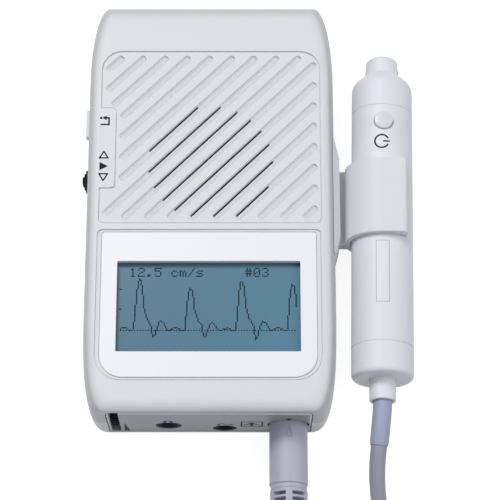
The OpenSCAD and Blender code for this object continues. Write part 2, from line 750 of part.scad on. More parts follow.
module jog_switch() color("black") {
    block([jog_back_x + jog_back_t + jog_travel + 0.1, jog_y - 4, board_z - switch_h],
        [jog_back_x + jog_back_t + jog_travel + 2.2, jog_y + 4, board_z]);
    for (s = [-1, 1]) translate([0, jog_y + s * 3.2, 0])
        block([inner_side_x + 1.3, -0.6, board_z - switch_h + 0.4],
            [jog_back_x + jog_back_t + jog_travel + 0.2, 0.6, board_z]);
}

// The carrier holds the lever's pin and slides inwards in the switch's arms when the lever is pressed
module jog_carrier() color("dimgray") {
    for (s = [-1, 1]) translate([0, 0, control_z + s * (jog_plate_z + 0.4)])
        block([inner_side_x + 0.4, jog_y - 2.4, -0.4], [jog_back_x + 0.1, jog_y + 2.4, 0.4]);
    block([jog_back_x, jog_y - 2.4, control_z - jog_plate_z - 0.8],
        [jog_back_x + jog_back_t, jog_y + 2.4, control_z + jog_plate_z + 0.8]);
    rod_z(jog_axis_x, jog_y, jog_pin_r, control_z - jog_plate_z - 0.1, control_z + jog_plate_z + 0.1);
}

// Thumb piece in three steps, an arm and the hub round the carrier's pin
module jog_lever() color("black") difference() {
    union() {
        linear_extrude_at(control_z - jog_h / 2, control_z + jog_h / 2) for (step = [0:2]) {
            half = jog_l / 2 - step * jog_l / 6;
            translate([side_x - jog_proud * (step + 1) / 3, jog_y - half])
                square([jog_proud * (step + 1) / 3 + wall - 0.3, 2 * half]);
        }
        linear_extrude_at(control_z - jog_plate_z + 0.1, control_z + jog_plate_z - 0.1) {
            translate([inner_side_x - 0.5, jog_y - 1.2]) square([jog_axis_x - inner_side_x + 0.5, 2.4]);
            translate([jog_axis_x, jog_y]) circle(r = jog_hub_r, $fn = 48);
        }
    }
    rod_z(jog_axis_x, jog_y, jog_pin_r + 0.05, control_z - jog_h, control_z + jog_h);
}

module case_screws() color("silver") difference() {
    union() {
        case_posts(screw_head_r, screw_head_z, screw_seat_z);
        case_posts(screw_r - 0.35, screw_seat_z - 0.1, joint_z + 6);
    }
    // Cross in the head
    for (x = [-screw_x, screw_x]) for (y = [screw_low_y, screw_top_y]) for (a = [0, 90])
        translate([x, y, screw_head_z]) rotate([0, 0, a]) cube([2.6, 0.6, 1.2], center = true);
}

module board_screws() color("silver") for (x = [-board_screw_x, board_screw_x]) for (y = board_screw_y) {
    rod_z(x, y, 2, board_z - board_head_t, board_z);
    rod_z(x, y, screw_r - 0.35, board_z - 0.1, board_z + board_t + 3);
}

// Turns a part drawn along Y into the probe's own line
module posed() translate([probe_x, clip_mid_y, 0]) rotate([0, 0, -probe_tilt])
    translate([-probe_x, -clip_mid_y, 0]) children();

// C-shaped clip seen along the probe: round on the left and below, flat tab on top
module clip_section() difference() {
    union() {
        circle(r = clip_r + clip_t, $fn = turned_fn);
        square([clip_tab_x - clip_corner_r, clip_r + clip_t]);
        square([clip_tab_x, clip_r + clip_t - clip_corner_r]);
        translate([clip_tab_x - clip_corner_r, clip_r + clip_t - clip_corner_r])
            circle(r = clip_corner_r, $fn = 32);
    }
    circle(r = clip_r, $fn = turned_fn);
    translate([clip_tab_x, -2 * probe_d]) square(4 * probe_d);
}

module probe_holder() color("gainsboro") difference() {
    union() {
        posed() {
            translate([probe_x, clip_mid_y + clip_l / 2, probe_z]) rotate([90, 0, 0])
                linear_extrude(clip_l) clip_section();
            // Neck between the pad and the clip
            block([seat_x + pad_t / 2, clip_mid_y - clip_l / 2, neck_low_z],
                [probe_x - clip_r - 0.2, clip_mid_y + clip_l / 2, neck_high_z]);
        }
        // Pad with sloping ends, on the housing's flat seat
        intersection() {
            linear_extrude_at(seat_low_z, seat_high_z) polygon([[seat_x, seat_low_y],
                [seat_x + pad_rim, seat_low_y], [seat_x + pad_t, seat_low_y + pad_slope],
                [seat_x + pad_t, seat_high_y - pad_slope], [seat_x + pad_rim, seat_high_y],
                [seat_x, seat_high_y]]);
            translate([0, seat_high_y, 0]) rotate([90, 0, 0]) linear_extrude(seat_high_y - seat_low_y)
                polygon([[seat_x, seat_low_z], [seat_x + pad_rim, seat_low_z],
                    [seat_x + pad_t, seat_low_z + pad_low_slope],
                    [seat_x + pad_t, seat_high_z - pad_high_slope],
                    [seat_x + 0.1, seat_high_z], [seat_x, seat_high_z]]);
        }
    }
    holder_screw_holes(screw_r - 0.3, seat_x - over, seat_x + 1.6);
}

module holder_screws() color("silver") {
    holder_screw_holes(screw_r - 0.35, holder_head_x - 0.1, seat_x + 1.5);
    holder_screw_holes(1.9, holder_head_x - 1.2, holder_head_x);
}

module probe_tip() color("lavender") posed() turned(probe_x, probe_z, [
    [0, tip_y - 0.9], [tip_r - 1.1, tip_y - 0.9], [tip_r - 1.1, neck_y - 2], [tip_r - 0.9, tip_low_y],
    [tip_r + 0.2, tip_low_y], [tip_r + 0.2, neck_y + 0.7], [tip_r + 0.05, neck_y + 2.1],
    [tip_r - 0.2, tip_y - 1.8],
    for (a = [0:arc_step:90]) [tip_r - 1.9 + 1.6 * cos(a), tip_y - 1.6 + 1.6 * sin(a)], [0, tip_y]]);

// The shoulder is a cone with a hollow start and a rounded end
module probe_front_cap() color("lavender") posed() turned(probe_x, probe_z, concat(
    [for (p = shoulder_line) [neck_r + p.x * (probe_r - neck_r), neck_y - p.y * shoulder_l]],
    [[probe_r, cap_y + 0.3], [probe_r - 0.2, cap_y], [spigot_r, cap_y], [spigot_r, cap_y - spigot_l],
    [spigot_r - 1.1, cap_y - spigot_l], [spigot_r - 1.1, tip_low_y - 1.5], [tip_r + 0.25, tip_low_y + 1],
    [tip_r + 0.25, neck_y]]));

module probe_body() color("lavender") posed() difference() {
    turned(probe_x, probe_z, [[probe_r - probe_wall, rear_cap_y], [probe_r - 0.2, rear_cap_y],
        [probe_r, rear_cap_y + 0.3], [probe_r, cap_y - 0.3], [probe_r - 0.2, cap_y],
        [probe_r - probe_wall, cap_y]]);
    rod_z(probe_x, probe_button_y, probe_button_d / 2 + 0.1, probe_z, probe_z + probe_d);
}

module probe_rear_cap() color("lavender") posed() turned(probe_x, probe_z, [
    [boot_r + 0.05, probe_end_y], [probe_r - 1.8, probe_end_y], [probe_r - 0.8, probe_end_y + 0.4],
    [probe_r - 0.2, probe_end_y + 1.2], [probe_r, probe_end_y + 2.2], [probe_r, rear_cap_y - 0.3],
    [probe_r - 0.2, rear_cap_y], [spigot_r, rear_cap_y], [spigot_r, rear_cap_y + 2.5],
    [spigot_r - 1.1, rear_cap_y + 2.5], [spigot_r - 1.1, probe_end_y + 3],
    [boot_r + 0.05, probe_end_y + 3]]);

probe_board_z = probe_z + 0.2;
probe_board_half = sqrt(pow(probe_r - probe_wall, 2) - 2) - 0.05;

module probe_board() color("darkgreen") posed() block(
    [probe_x - probe_board_half, rear_cap_y + 5, probe_board_z],
    [probe_x + probe_board_half, cap_y - 4, probe_board_z + 1.2]);

// Two half discs, one sends and one listens
module probe_crystals() color("khaki") posed() for (s = [-1, 1])
    translate([probe_x, 0, probe_z]) rotate([-90, 0, 0]) intersection() {
        translate([0, 0, tip_y - 1.6]) cylinder(r = tip_r - 1.4, h = 0.6, $fn = 48);
        translate([s > 0 ? 0.2 : -tip_d, -tip_d, 0]) cube([tip_d - 0.2, 2 * tip_d, 2 * tip_y]);
    }

module probe_backing() color("saddlebrown") posed()
    rod_y(probe_x, probe_z, tip_r - 1.2, neck_y - 4, tip_y - 1.6);

switch_top_z = probe_z + probe_r - probe_wall - 2.4;

module probe_switch() color("black") posed() block([probe_x - 3, probe_button_y - 3, probe_board_z + 1.2],
    [probe_x + 3, probe_button_y + 1.6, switch_top_z]);

button_low_z = switch_top_z + probe_button_travel + 0.1;
button_top_z = probe_z + probe_r + probe_button_proud;

module probe_button() color("white") posed() translate([probe_x, probe_button_y, 0])
    rotate_extrude($fn = 64) polygon([
        [0, button_low_z], [probe_button_d / 2 + 0.7, button_low_z],
        [probe_button_d / 2 + 0.7, button_low_z + 0.7],
        [probe_button_d / 2, button_low_z + 0.7], [probe_button_d / 2, button_top_z - 0.4],
        [probe_button_d / 2 - 0.4, button_top_z], [0, button_top_z + 0.15]]);

module cable_boot() color("lavender") posed() turned(probe_x, probe_z, [
    [boot_bore_r, boot_end_y], [boot_r - 0.2, boot_end_y], [boot_r, boot_end_y + 0.2],
    [boot_r, probe_end_y + 3.1],
    [boot_r + 1.5, probe_end_y + 3.1], [boot_r + 1.5, probe_end_y + 4.3], [boot_bore_r, probe_end_y + 4.3]]);

// A tube swept along points of a route
function unit(v) = v / norm(v);
function heading(path, i) = unit(path[min(i + 1, len(path) - 1)] - path[max(i - 1, 0)]);
function ring(c, t, r) = let (side = unit(cross([0, 0, 1], t)), up = cross(t, side))
    [for (k = [0:cord_sides - 1]) let (a = 360 * k / cord_sides) c + r * (cos(a) * side + sin(a) * up)];
module swept(path, r) {
    n = cord_sides;
    last = (len(path) - 1) * n;
    polyhedron(
        points = [for (i = [0:len(path) - 1]) each ring(path[i], heading(path, i), r)],
        faces = concat(
            [[for (j = [n - 1:-1:0]) j]],
            [for (i = [0:len(path) - 2]) for (j = [0:n - 1]) let (a = i * n + j, b = i * n + (j + 1) % n)
                each [[a, b, b + n], [a, b + n, a + n]]],
            [[for (j = [0:n - 1]) last + j]]));
}
function part_of(path, from, to) = [for (i = [from:to]) path[i]];

module strain_sheath() color("lightsteelblue") swept(part_of(probe_route, 0, sheath_points - 1), sheath_r);

module cord_to_probe() color("darkgray") swept(concat(
    [probe_route[sheath_points - 1] + 0.2 * heading(probe_route, sheath_points - 1)],
    part_of(probe_route, sheath_points, len(probe_route) - 1)), cord_r);

module cord_coil() color("darkgray") translate([coil_x, coil_y, 0]) rotate_extrude($fn = 64)
    polygon([[coil_in_r, 1], [coil_in_r + 1, 0], [coil_out_r - 1, 0], [coil_out_r, 1],
        [coil_out_r, 2 * cord_d - 1],
        [coil_out_r - 1, 2 * cord_d], [coil_in_r + 1, 2 * cord_d], [coil_in_r, 2 * cord_d - 1]]);

module cord_to_plug() color("darkgray") swept(plug_route, cord_r);

// The shell reaches through the panel to the socket; its rear is hollow round the cord
module plug_shell() color("silver") difference() {
    turned(socket_x, socket_z, [[insert_r + 0.05, inner_panel_y - 0.2], [plug_r - 0.3, inner_panel_y - 0.2],
        [plug_r, inner_panel_y - 0.5], [plug_r, plug_end_y + 0.3], [plug_r - 0.3, plug_end_y],
        [plug_r - 1.4, plug_end_y], [plug_r - 1.4, plug_end_y + 14], [insert_r + 0.05, plug_end_y + 14]]);
    // Engraved triangle that points at the socket
    translate([socket_x, 0, socket_z + plug_r - 0.25]) linear_extrude(1) difference() {
        polygon([[-1.1, panel_y - 5.4], [1.1, panel_y - 5.4], [0, panel_y - 1.4]]);
        polygon([[-0.75, panel_y - 5.15], [0.75, panel_y - 5.15], [0, panel_y - 2.5]]);
    }
}

module plug_collar() color("silver") turned(socket_x, socket_z, [
    [plug_r - 1.5, plug_end_y - collar_l], [plug_r - 0.45, plug_end_y - collar_l],
    [plug_r - 0.3, plug_end_y - collar_l + 0.3],
    [plug_r - 0.3, plug_end_y - 0.05], [plug_r - 1.5, plug_end_y - 0.05]]);

nut_y = plug_end_y - collar_l - 0.05;

// Bend relief: a tapered cage with rows of windows, left and right of a spine above and below
module plug_nut() color("silver") difference() {
    turned(socket_x, socket_z, [[nut_bore_r, nut_y - nut_l], [nut_end_r - 0.3, nut_y - nut_l],
        [nut_end_r, nut_y - nut_l + 0.3], [plug_r - 0.15, nut_y - 4.5], [plug_r - 0.15, nut_y - 0.2],
        [plug_r - 0.35, nut_y], [nut_bore_r, nut_y]]);
    for (i = [0:nut_rows - 1]) for (mid = [90, 270])
        for (from = [mid - nut_spine_angle - nut_slot_angle, mid + nut_spine_angle])
        translate([socket_x, nut_y - 1.2 - nut_slot_l - i * nut_row_pitch, socket_z]) rotate([-90, 0, 0])
            rotate([0, 0, from]) rotate_extrude(angle = nut_slot_angle, $fn = 64)
                translate([nut_bore_r + 0.4, 0]) square([plug_r, nut_slot_l]);
}

module plug_insert() color("tan") difference() {
    rod_y(socket_x, socket_z, insert_r, plug_end_y + 14.1, inner_panel_y - 0.2 + insert_l);
    rod_y(socket_x, socket_z, insert_r - 0.8, inner_panel_y - 0.2, inner_panel_y + insert_l + over);
}

module plug_contacts() color("gold") pins(pin_r, inner_panel_y - 0.2, inner_panel_y + insert_l - 1);

front_case();
rear_case();
end_panel();
battery_cover();
display_label();
lcd_glass();
lcd_frame();
backlight();
main_board();
io_board();
speaker_frame();
speaker_cone();
speaker_magnet();
grille_cloth();
volume_pot();
volume_wheel();
headphone_jack();
output_jack();
probe_socket();
socket_core();
battery_cells();
battery_springs();
contact_plates();
mode_switch();
mode_button();
jog_switch();
jog_carrier();
jog_lever();
case_screws();
board_screws();
probe_holder();
holder_screws();
probe_tip();
probe_front_cap();
probe_body();
probe_rear_cap();
probe_board();
probe_crystals();
probe_backing();
probe_switch();
probe_button();
cable_boot();
strain_sheath();
plug_shell();
plug_collar();
plug_nut();
plug_insert();
plug_contacts();
cord_to_probe();
cord_coil();
cord_to_plug();
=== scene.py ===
"""A pocket vascular doppler with its pencil probe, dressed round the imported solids.

Every helper takes millimetres in the frame of the solids: +X to the probe, +Y to the top end,
+Z out of the front face. Meshes are written in metres.
"""

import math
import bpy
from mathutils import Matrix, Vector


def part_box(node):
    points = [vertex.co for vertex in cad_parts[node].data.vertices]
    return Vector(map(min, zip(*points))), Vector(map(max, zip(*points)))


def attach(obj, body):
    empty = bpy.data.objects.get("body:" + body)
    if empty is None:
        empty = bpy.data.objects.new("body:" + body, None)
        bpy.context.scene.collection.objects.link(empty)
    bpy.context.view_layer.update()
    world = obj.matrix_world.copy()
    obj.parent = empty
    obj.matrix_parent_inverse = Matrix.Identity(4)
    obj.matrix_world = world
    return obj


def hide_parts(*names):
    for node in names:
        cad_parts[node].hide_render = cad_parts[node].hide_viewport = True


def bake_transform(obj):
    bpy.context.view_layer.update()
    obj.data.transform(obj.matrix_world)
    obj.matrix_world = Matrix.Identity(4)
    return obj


bl_info = {
    "name": "Pocket Doppler",
    "version": (1, 0, 0),
    "blender": (4, 5, 0),
    "location": "3D View > Sidebar > Doppler",
    "description": "Builds a pocket vascular doppler with its probe, plug, cord and a plain studio",
    "category": "Add Mesh",
}

from math import cos, pi, radians, sin, sqrt

import bmesh
import bpy
from mathutils import Euler, Matrix, Vector

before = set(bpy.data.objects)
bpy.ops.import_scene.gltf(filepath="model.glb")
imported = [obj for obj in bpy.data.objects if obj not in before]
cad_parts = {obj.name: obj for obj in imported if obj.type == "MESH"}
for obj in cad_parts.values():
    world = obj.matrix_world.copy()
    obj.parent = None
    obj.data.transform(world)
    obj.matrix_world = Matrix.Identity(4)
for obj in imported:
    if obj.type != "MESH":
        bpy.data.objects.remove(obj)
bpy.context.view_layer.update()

MM = 0.001


def box_mm(node):
    """Lowest and highest corner of a solid, in millimetres."""
    low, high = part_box(node)
    return Vector(low) / MM, Vector(high) / MM


# Measures of the housing, as in the solids
BODY_W, BODY_L, BODY_T = 78.4, 138.0, 28.0
SEAM_Z, WALL, FLOOR_T = 13.5, 2.0, 2.6
TOP_Y, BOTTOM_Y = BODY_L / 2, -BODY_L / 2
CEILING_Z = BODY_T - WALL

# Its plan: how far the lower corners' curve and the upper corners' arc reach in X and Y
FOOT_X, FOOT_Y, FOOT_POWER, HEAD_X, HEAD_Y = 7.0, 36.0, 3.0, 5.5, 26.0

# Its rounding to the front and to the back: insets at the sides, the top and the bottom
SHOULDER, SHOULDER_POWER = (4.7, 17.0, 0.0), (3, 4, 3)
BACK, BACK_POWER = (3.5, 3.0, 1.8), (3, 3, 3)

# The front's lower edge: the arc's radius, how far in it starts, and its crease's height
LIP_ARC = (4.7, 3.4, 26.545)

FIELD_DEPTH, DISPLAY_DEPTH, MOAT_DEPTH = 0.35, 0.3, 0.28
PANEL_Y, PANEL_T, PANEL_LOW, PANEL_HIGH, PANEL_W = -67.7, 2.0, 1.0, 24.0, 62.6
PANEL_PROUD, PANEL_LEAN = 0.2, 0.0645
SPEAKER = (0.4, 11.5, 20.0)
CONTROL_Z = 17.0
COVER_LOW, COVER_HALF, COVER_T, DOVETAIL = 2.0, 30.0, 1.5, 0.8
PROBE_X, PROBE_Z, PROBE_R = 54.4, 14.5, 9.75
CLIP_Y, PROBE_TILT = 1.9, radians(1.1)
SOCKET_X, SOCKET_Z, PLUG_R = 24.2, 10.2, 5.9
SEAT_X = 38.6

# Fields of the front, and the battery bay, as low and high X and low and high Y
BAY = (-29.5, 29.5, 3.4, 56.6)
WINDOW = (-28.5, 27.9, -50.55, -21.25)
FIELD = (-34.8, 34.8, -8.7, 50.6)
NOTCH_X, NOTCH_LOW, NOTCH_HIGH = -30.0, 3.3, 30.6
RECESS = (-35.0, 34.5, -59.7, -10.7)
LABEL = (-33.35, 32.85, -58.65, -11.75)

# The mode button's and the jog lever's openings: middle, half length and half height
SIDE_SLOTS = ((29.4, 4.85, 1.7), (9.6, 4.7, 1.9))

# Openings and places that two or more pieces share
HEADPHONE_JACK, OUTPUT_JACK = (-12.7, 9.0), (4.6, 5.4)
WHEEL_SLOT = (-30.4, -27.6)
SEAT_CUT = ((SEAT_X, -17.1, 3.9), (50, 22.1, 24.5))
SCREW_SPOTS = [(x, y) for x in (-33.5, 33.5) for y in (-47, 50)]
CELL_COUNT, CELL_STEP, CELL_Z, SPRING_GAP = 4, 14.6, 8.9, 0.4
PROBE_KEY_Y = 28

# The grille's painted shade: heights between which grime and painted shade in the grooves and painted shadow
# on the slits' walls fade in, and how far the slits' painted shadow reaches
GROOVE_GRIME_AND_SHADE_Z, SLIT_SHADE_Z = (26.6, 27.5), (26.4, 26.7)
GRILLE_MIDDLE, GRILLE_REACH = (0.0, 19.5, 26.0), (28.0, 30.0)


# ---------------------------------------------------------------- settings


def linear(code):
    """A colour written as an sRGB hex value, as linear red, green, blue and alpha."""
    parts = [int(code[i : i + 2], 16) / 255 for i in (1, 3, 5)]
    return tuple(p / 12.92 if p <= 0.04045 else ((p + 0.055) / 1.055) ** 2.4 for p in parts) + (1.0,)


def colour_setting(name, code, description):
    return bpy.props.FloatVectorProperty(
        name=name, description=description, subtype="COLOR", size=4, min=0, max=1, default=linear(code)
    )


def length_setting(name, millimetres, description):
    return bpy.props.FloatProperty(
        name=name, description=description, unit="LENGTH", min=0, default=millimetres * MM
    )


class HousingSettings(bpy.types.PropertyGroup):
    shell: colour_setting("Shell", "#E3E6EB", "Colour of the two cases, the battery cover and the clip")
    # The end panel's colour is set darker than the shell as painted shade, for its face turned away from the
    # lamps
    panel: colour_setting("End panel", "#9A9CAA", "Colour of the end panel")
    ink: colour_setting("Ink", "#1D1D2C", "Colour of the printed signs")
    edge: length_setting("Edge rounding", 0.14, "Rounding of the cases' edges")
    grain: length_setting("Grain", 0.42, "Size of the moulded grain")


class DisplaySettings(bpy.types.PropertyGroup):
    label: colour_setting("Label", "#F6F7FB", "Colour of the plate round the window")
    glass: colour_setting("Glass", "#4F7F98", "Colour of the unlit display")
    dots: colour_setting("Dots", "#0E1B28", "Colour of the dark dots")
    pitch: length_setting("Dot pitch", 0.43, "Distance between the dots of the display")
    gap: length_setting("Dot gap", 0.05, "Bare strip between two dots")


class ProbeSettings(bpy.types.PropertyGroup):
    shell: colour_setting("Shell", "#E9ECF4", "Colour of the probe's parts")
    button: colour_setting("Buttons", "#E2E4E8", "Colour of the probe's button and the mode button")
    sheath: colour_setting("Sheath", "#A5AAC8", "Colour of the sleeve on the cord")
    plug: colour_setting("Plug", "#B7B9CB", "Colour of the plug and its bend relief")


class CordSettings(bpy.types.PropertyGroup):
    jacket: colour_setting("Jacket", "#9D9CAD", "Colour of the cord")
    diameter: length_setting("Diameter", 4.5, "Diameter of the cord")
    turns: bpy.props.FloatProperty(
        name="Turns", description="Turns in the cord's coil", default=6.5, min=1, max=12
    )


class StudioSettings(bpy.types.PropertyGroup):
    elevation: bpy.props.FloatProperty(
        name="Elevation",
        description="Height of the camera over the horizon",
        subtype="ANGLE",
        default=radians(69),
    )
    distance: bpy.props.FloatProperty(
        name="Distance", description="From the camera to what it looks at", unit="LENGTH", default=0.6726
    )
    lens: bpy.props.FloatProperty(name="Lens", description="Focal length in millimetres", default=153.36)
    sky: bpy.props.FloatProperty(name="Sky", description="Strength of the light from all round", default=0.34)
    lamp: bpy.props.FloatProperty(name="Lamp", description="Power of the main lamp in watts", default=11.5)


# ---------------------------------------------------------------- meshes


def mesh_object(name, points, faces, weld=True):
    """A new object at the origin from points in millimetres, its doubles merged and its faces outwards."""
    mesh = bpy.data.meshes.new(name)
    mesh.from_pydata([(p[0] * MM, p[1] * MM, p[2] * MM) for p in points], [], faces)
    thing = bpy.data.objects.new(name, mesh)
    bpy.context.scene.collection.objects.link(thing)
    if weld:
        weld_mesh(thing)
    return thing


def weld_mesh(thing, reach=2e-6):
    """Merges points that lie within the reach, in metres, and turns the faces outwards."""
    work = bmesh.new()
    work.from_mesh(thing.data)
    bmesh.ops.remove_doubles(work, verts=work.verts, dist=reach)
    bmesh.ops.dissolve_degenerate(work, edges=work.edges, dist=reach)
    bmesh.ops.recalc_face_normals(work, faces=work.faces)
    work.to_mesh(thing.data)
    work.free()


def bake(thing):
    """Puts the modifiers' result into the object's own mesh."""
    graph = bpy.context.evaluated_depsgraph_get()
    mesh = bpy.data.meshes.new_from_object(thing.evaluated_get(graph))
    old, thing.data = thing.data, mesh
    thing.modifiers.clear()
    mesh.name = thing.name
    if old.users == 0:
        bpy.data.meshes.remove(old)
    return thing


def combine(target, tool, operation="DIFFERENCE"):
    """Cuts the tool out of the target, or joins them, and takes the tool away."""
    step = target.modifiers.new("combine", "BOOLEAN")
    step.operation, step.solver, step.object = operation, "EXACT", tool
    bake(target)
    bpy.data.objects.remove(tool)
    return target


def joined(name, things):
    """One object with all the things' meshes."""
    work = bmesh.new()
    for thing in things:
        work.from_mesh(thing.data)
        bpy.data.objects.remove(thing)
    mesh = bpy.data.meshes.new(name)
    work.to_mesh(mesh)
    work.free()
    whole = bpy.data.objects.new(name, mesh)
    bpy.context.scene.collection.objects.link(whole)
    return whole


def soften(thing, width=0.0, steps=2, angle=32):
    """Rounds the sharp edges and shades the rest smooth. Large faces stay flat."""
    if width:
        edge = thing.modifiers.new("edge", "BEVEL")
        edge.width, edge.segments, edge.limit_method = width * MM, steps, "ANGLE"
        edge.angle_limit, edge.miter_outer = radians(angle), "MITER_ARC"
        edge.use_clamp_overlap = True
        bake(thing)
    thing.data.shade_smooth()
    thing.data.set_sharp_from_angle(angle=radians(angle))
    flat = thing.modifiers.new("flat", "WEIGHTED_NORMAL")
    flat.keep_sharp, flat.weight = True, 80
    bake(thing)
    return thing


def quarter(steps):
    return [pi / 2 * i / steps for i in range(steps + 1)]


def outline(side, top, bottom, steps=28):
    """Plan of the housing, moved in at its sides and ends."""
    half, high, low = BODY_W / 2 - side, TOP_Y - top, BOTTOM_Y + bottom
    power = 2 / FOOT_POWER
    right = [
        (half - FOOT_X * (1 - sin(a) ** power), low + FOOT_Y * (1 - cos(a) ** power)) for a in quarter(steps)
    ]
    right += [(half - HEAD_X * (1 - cos(a)), high - HEAD_Y * (1 - sin(a))) for a in quarter(steps)]
    return right + [(-x, y) for x, y in reversed(right)]


def eased(t, power):
    """How far a rounded edge has come in at the share t of its height."""
    return 1 - (1 - min(t, 1.0) ** power) ** (1 / power)


def round_shares(steps):
    return [sin(pi / 2 * i / steps) ** (2 / 3) for i in range(steps + 1)]


def loft(name, rows):
    """A closed form through outlines; each row is a height and the outline's three insets."""
    rings = [[(x, y, z) for x, y in outline(*insets)] for z, insets in rows]
    count = len(rings[0])
    points = [p for ring in rings for p in ring]
    faces = [tuple(reversed(range(count)))]
    for k in range(len(rings) - 1):
        for j in range(count):
            a, b = k * count + j, k * count + (j + 1) % count
            faces.append((a, b, b + count, a + count))
    faces.append(tuple(range(len(points) - count, len(points))))
    return mesh_object(name, points, faces)


def shell_rows(start, height, insets, powers, inset, steps):
    """Heights from the seam out to a face, each with the plan's insets at the sides, top and bottom."""
    return [
        (start + height * t, [inset + full * eased(t, power) for full, power in zip(insets, powers)])
        for t in round_shares(steps)
    ]


def lip_inset(z):
    """How far the front's lower edge, an arc that ends in a crease over the end panel, has come in."""
    r, reach, crease = LIP_ARC
    return max(0.0, reach - sqrt(max(0.0, r * r - (z - BODY_T + r) ** 2))) if z > crease else 0.0


def front_rows(inset=0.0, steps=20):
    """From the seam up to the front face."""
    rows = shell_rows(SEAM_Z, BODY_T - SEAM_Z - inset, SHOULDER, SHOULDER_POWER, inset, steps)
    return [(z, (side, top, bottom + lip_inset(z + inset))) for z, (side, top, bottom) in rows]


def panel_face(z):
    """The end panel's face leans: it stands proud of the case at its top and lies back at its foot."""
    return PANEL_Y - PANEL_PROUD - PANEL_LEAN * (z - PANEL_LOW)


def rear_rows(inset=0.0, floor=0.0, steps=16):
    """From the back up to the seam."""
    return shell_rows(SEAM_Z, floor - SEAM_Z, BACK, BACK_POWER, inset, steps)[::-1]


def prism(name, shape, low, high, along="Z"):
    """A flat shape pulled out along Z, or along Y or X with the shape's second number as height."""
    place = {
        "Z": lambda u, v, h: (u, v, h),
        "Y": lambda u, v, h: (u, h, v),
        "X": lambda u, v, h: (h, u, v),
    }[along]
    count = len(shape)
    points = [place(u, v, low) for u, v in shape] + [place(u, v, high) for u, v in shape]
    faces = [tuple(range(count)), tuple(range(2 * count - 1, count - 1, -1))]
    faces += [(j, (j + 1) % count, (j + 1) % count + count, j + count) for j in range(count)]
    return mesh_object(name, points, faces)


def block(name, low, high):
    (x0, y0, z0), (x1, y1, z1) = low, high
    return prism(name, [(x0, y0), (x1, y0), (x1, y1), (x0, y1)], z0, z1)


def arc(centre, r, start, end, steps=8):
    """Points of an arc; angles in degrees."""
    angles = [radians(start + (end - start) * i / steps) for i in range(steps + 1)]
    return [(centre[0] + r * cos(a), centre[1] + r * sin(a)) for a in angles]


def rounded(x0, x1, y0, y1, low=0.0, high=None):
    """A rectangle with rounded lower and upper corners."""
    high = low if high is None else high
    shape = arc((x1 - low, y0 + low), low, -90, 0) + arc((x1 - high, y1 - high), high, 0, 90)
    shape += arc((x0 + high, y1 - high), high, 90, 180) + arc((x0 + low, y0 + low), low, 180, 270)
    return [p for i, p in enumerate(shape) if p != shape[i - 1]]


def shrunk(field, inset):
    """A field's low and high X and Y, moved in all round."""
    x0, x1, y0, y1 = field
    return x0 + inset, x1 - inset, y0 + inset, y1 - inset


def filleted(corners, steps=5):
    """A line of corners (u, v) or (u, v, reach); a corner with a reach is rounded off that far."""
    line = []
    for i, corner in enumerate(corners):
        if len(corner) == 2:
            line.append((corner[0], corner[1]))
            continue
        here = Vector(corner[:2])
        before = Vector(corners[i - 1][:2])
        after = Vector(corners[(i + 1) % len(corners)][:2])
        start = here + (before - here).normalized() * corner[2]
        end = here + (after - here).normalized() * corner[2]
        for k in range(steps + 1):
            t = k / steps
            point = start * (1 - t) ** 2 + here * 2 * t * (1 - t) + end * t**2
            line.append((point.x, point.y))
    return line


def turned(name, x, z, corners, segments=96):
    """A form turned about a line along Y. Its corners are radius and Y, in a closed loop or axis to axis."""
    profile = filleted(corners)
    closed = profile[0][0] > 1e-6 or profile[-1][0] > 1e-6
    count = len(profile)
    points = [
        (x + r * cos(a), y, z + r * sin(a))
        for a in (2 * pi * i / segments for i in range(segments))
        for r, y in profile
    ]
    faces = []
    for i in range(segments):
        here, there = i * count, (i + 1) % segments * count
        for j in range(count if closed else count - 1):
            k = (j + 1) % count
            faces.append((here + j, here + k, there + k, there + j))
    return mesh_object(name, points, faces)


def rod(name, x, z, r, low, high, along="Y", segments=64):
    """A plain round rod, mostly used to cut a hole."""
    angles = [2 * pi * i / segments for i in range(segments)]
    return prism(name, [(x + r * cos(a), z + r * sin(a)) for a in angles], low, high, along)


def swept(name, path, r, sides):
    """A round tube along a path, with its ends closed; r is a radius, or gives it for a point's number."""
    path = [Vector(p) for p in path]
    heads = [(path[min(i + 1, len(path) - 1)] - path[max(i - 1, 0)]).normalized() for i in range(len(path))]
    side = Vector((0, 0, 1)).cross(heads[0]).normalized()
    points = []
    for i, (centre, head) in enumerate(zip(path, heads)):
        side = (side - head * side.dot(head)).normalized()
        up = head.cross(side)
        size = r(i) if callable(r) else r
        points += [
            centre + size * (cos(a) * side + sin(a) * up) for a in (2 * pi * k / sides for k in range(sides))
        ]
    faces = [tuple(range(sides))[::-1]]
    for i in range(len(path) - 1):
        for k in range(sides):
            a, b = i * sides + k, i * sides + (k + 1) % sides
            faces.append((a, b, b + sides, a + sides))
    faces.append(tuple(range(len(points) - sides, len(points))))
    return mesh_object(name, points, faces)


def smooth_path(points, spacing=1.0):
    """A smooth line through the points, cut in steps of about the spacing."""
    points = [Vector(p) for p in points]
    line = []
    for i in range(len(points) - 1):
        a, b, c, d = points[max(i - 1, 0)], points[i], points[i + 1], points[min(i + 2, len(points) - 1)]
        steps = max(1, round((c - b).length / spacing))
        for k in range(steps):
            t = k / steps
            square, cube = 2 * a - 5 * b + 4 * c - d, 3 * b - a - 3 * c + d
            line.append(0.5 * (2 * b + (c - a) * t + square * t**2 + cube * t**3))
    return line + [points[-1]]


def posed(thing):
    """Turns a piece drawn along Y into the probe's own line."""
    centre = Vector((PROBE_X, CLIP_Y, 0)) * MM
    turn = Matrix.Rotation(-PROBE_TILT, 4, "Z")
    thing.data.transform(Matrix.Translation(centre) @ turn @ Matrix.Translation(-centre))
    return thing


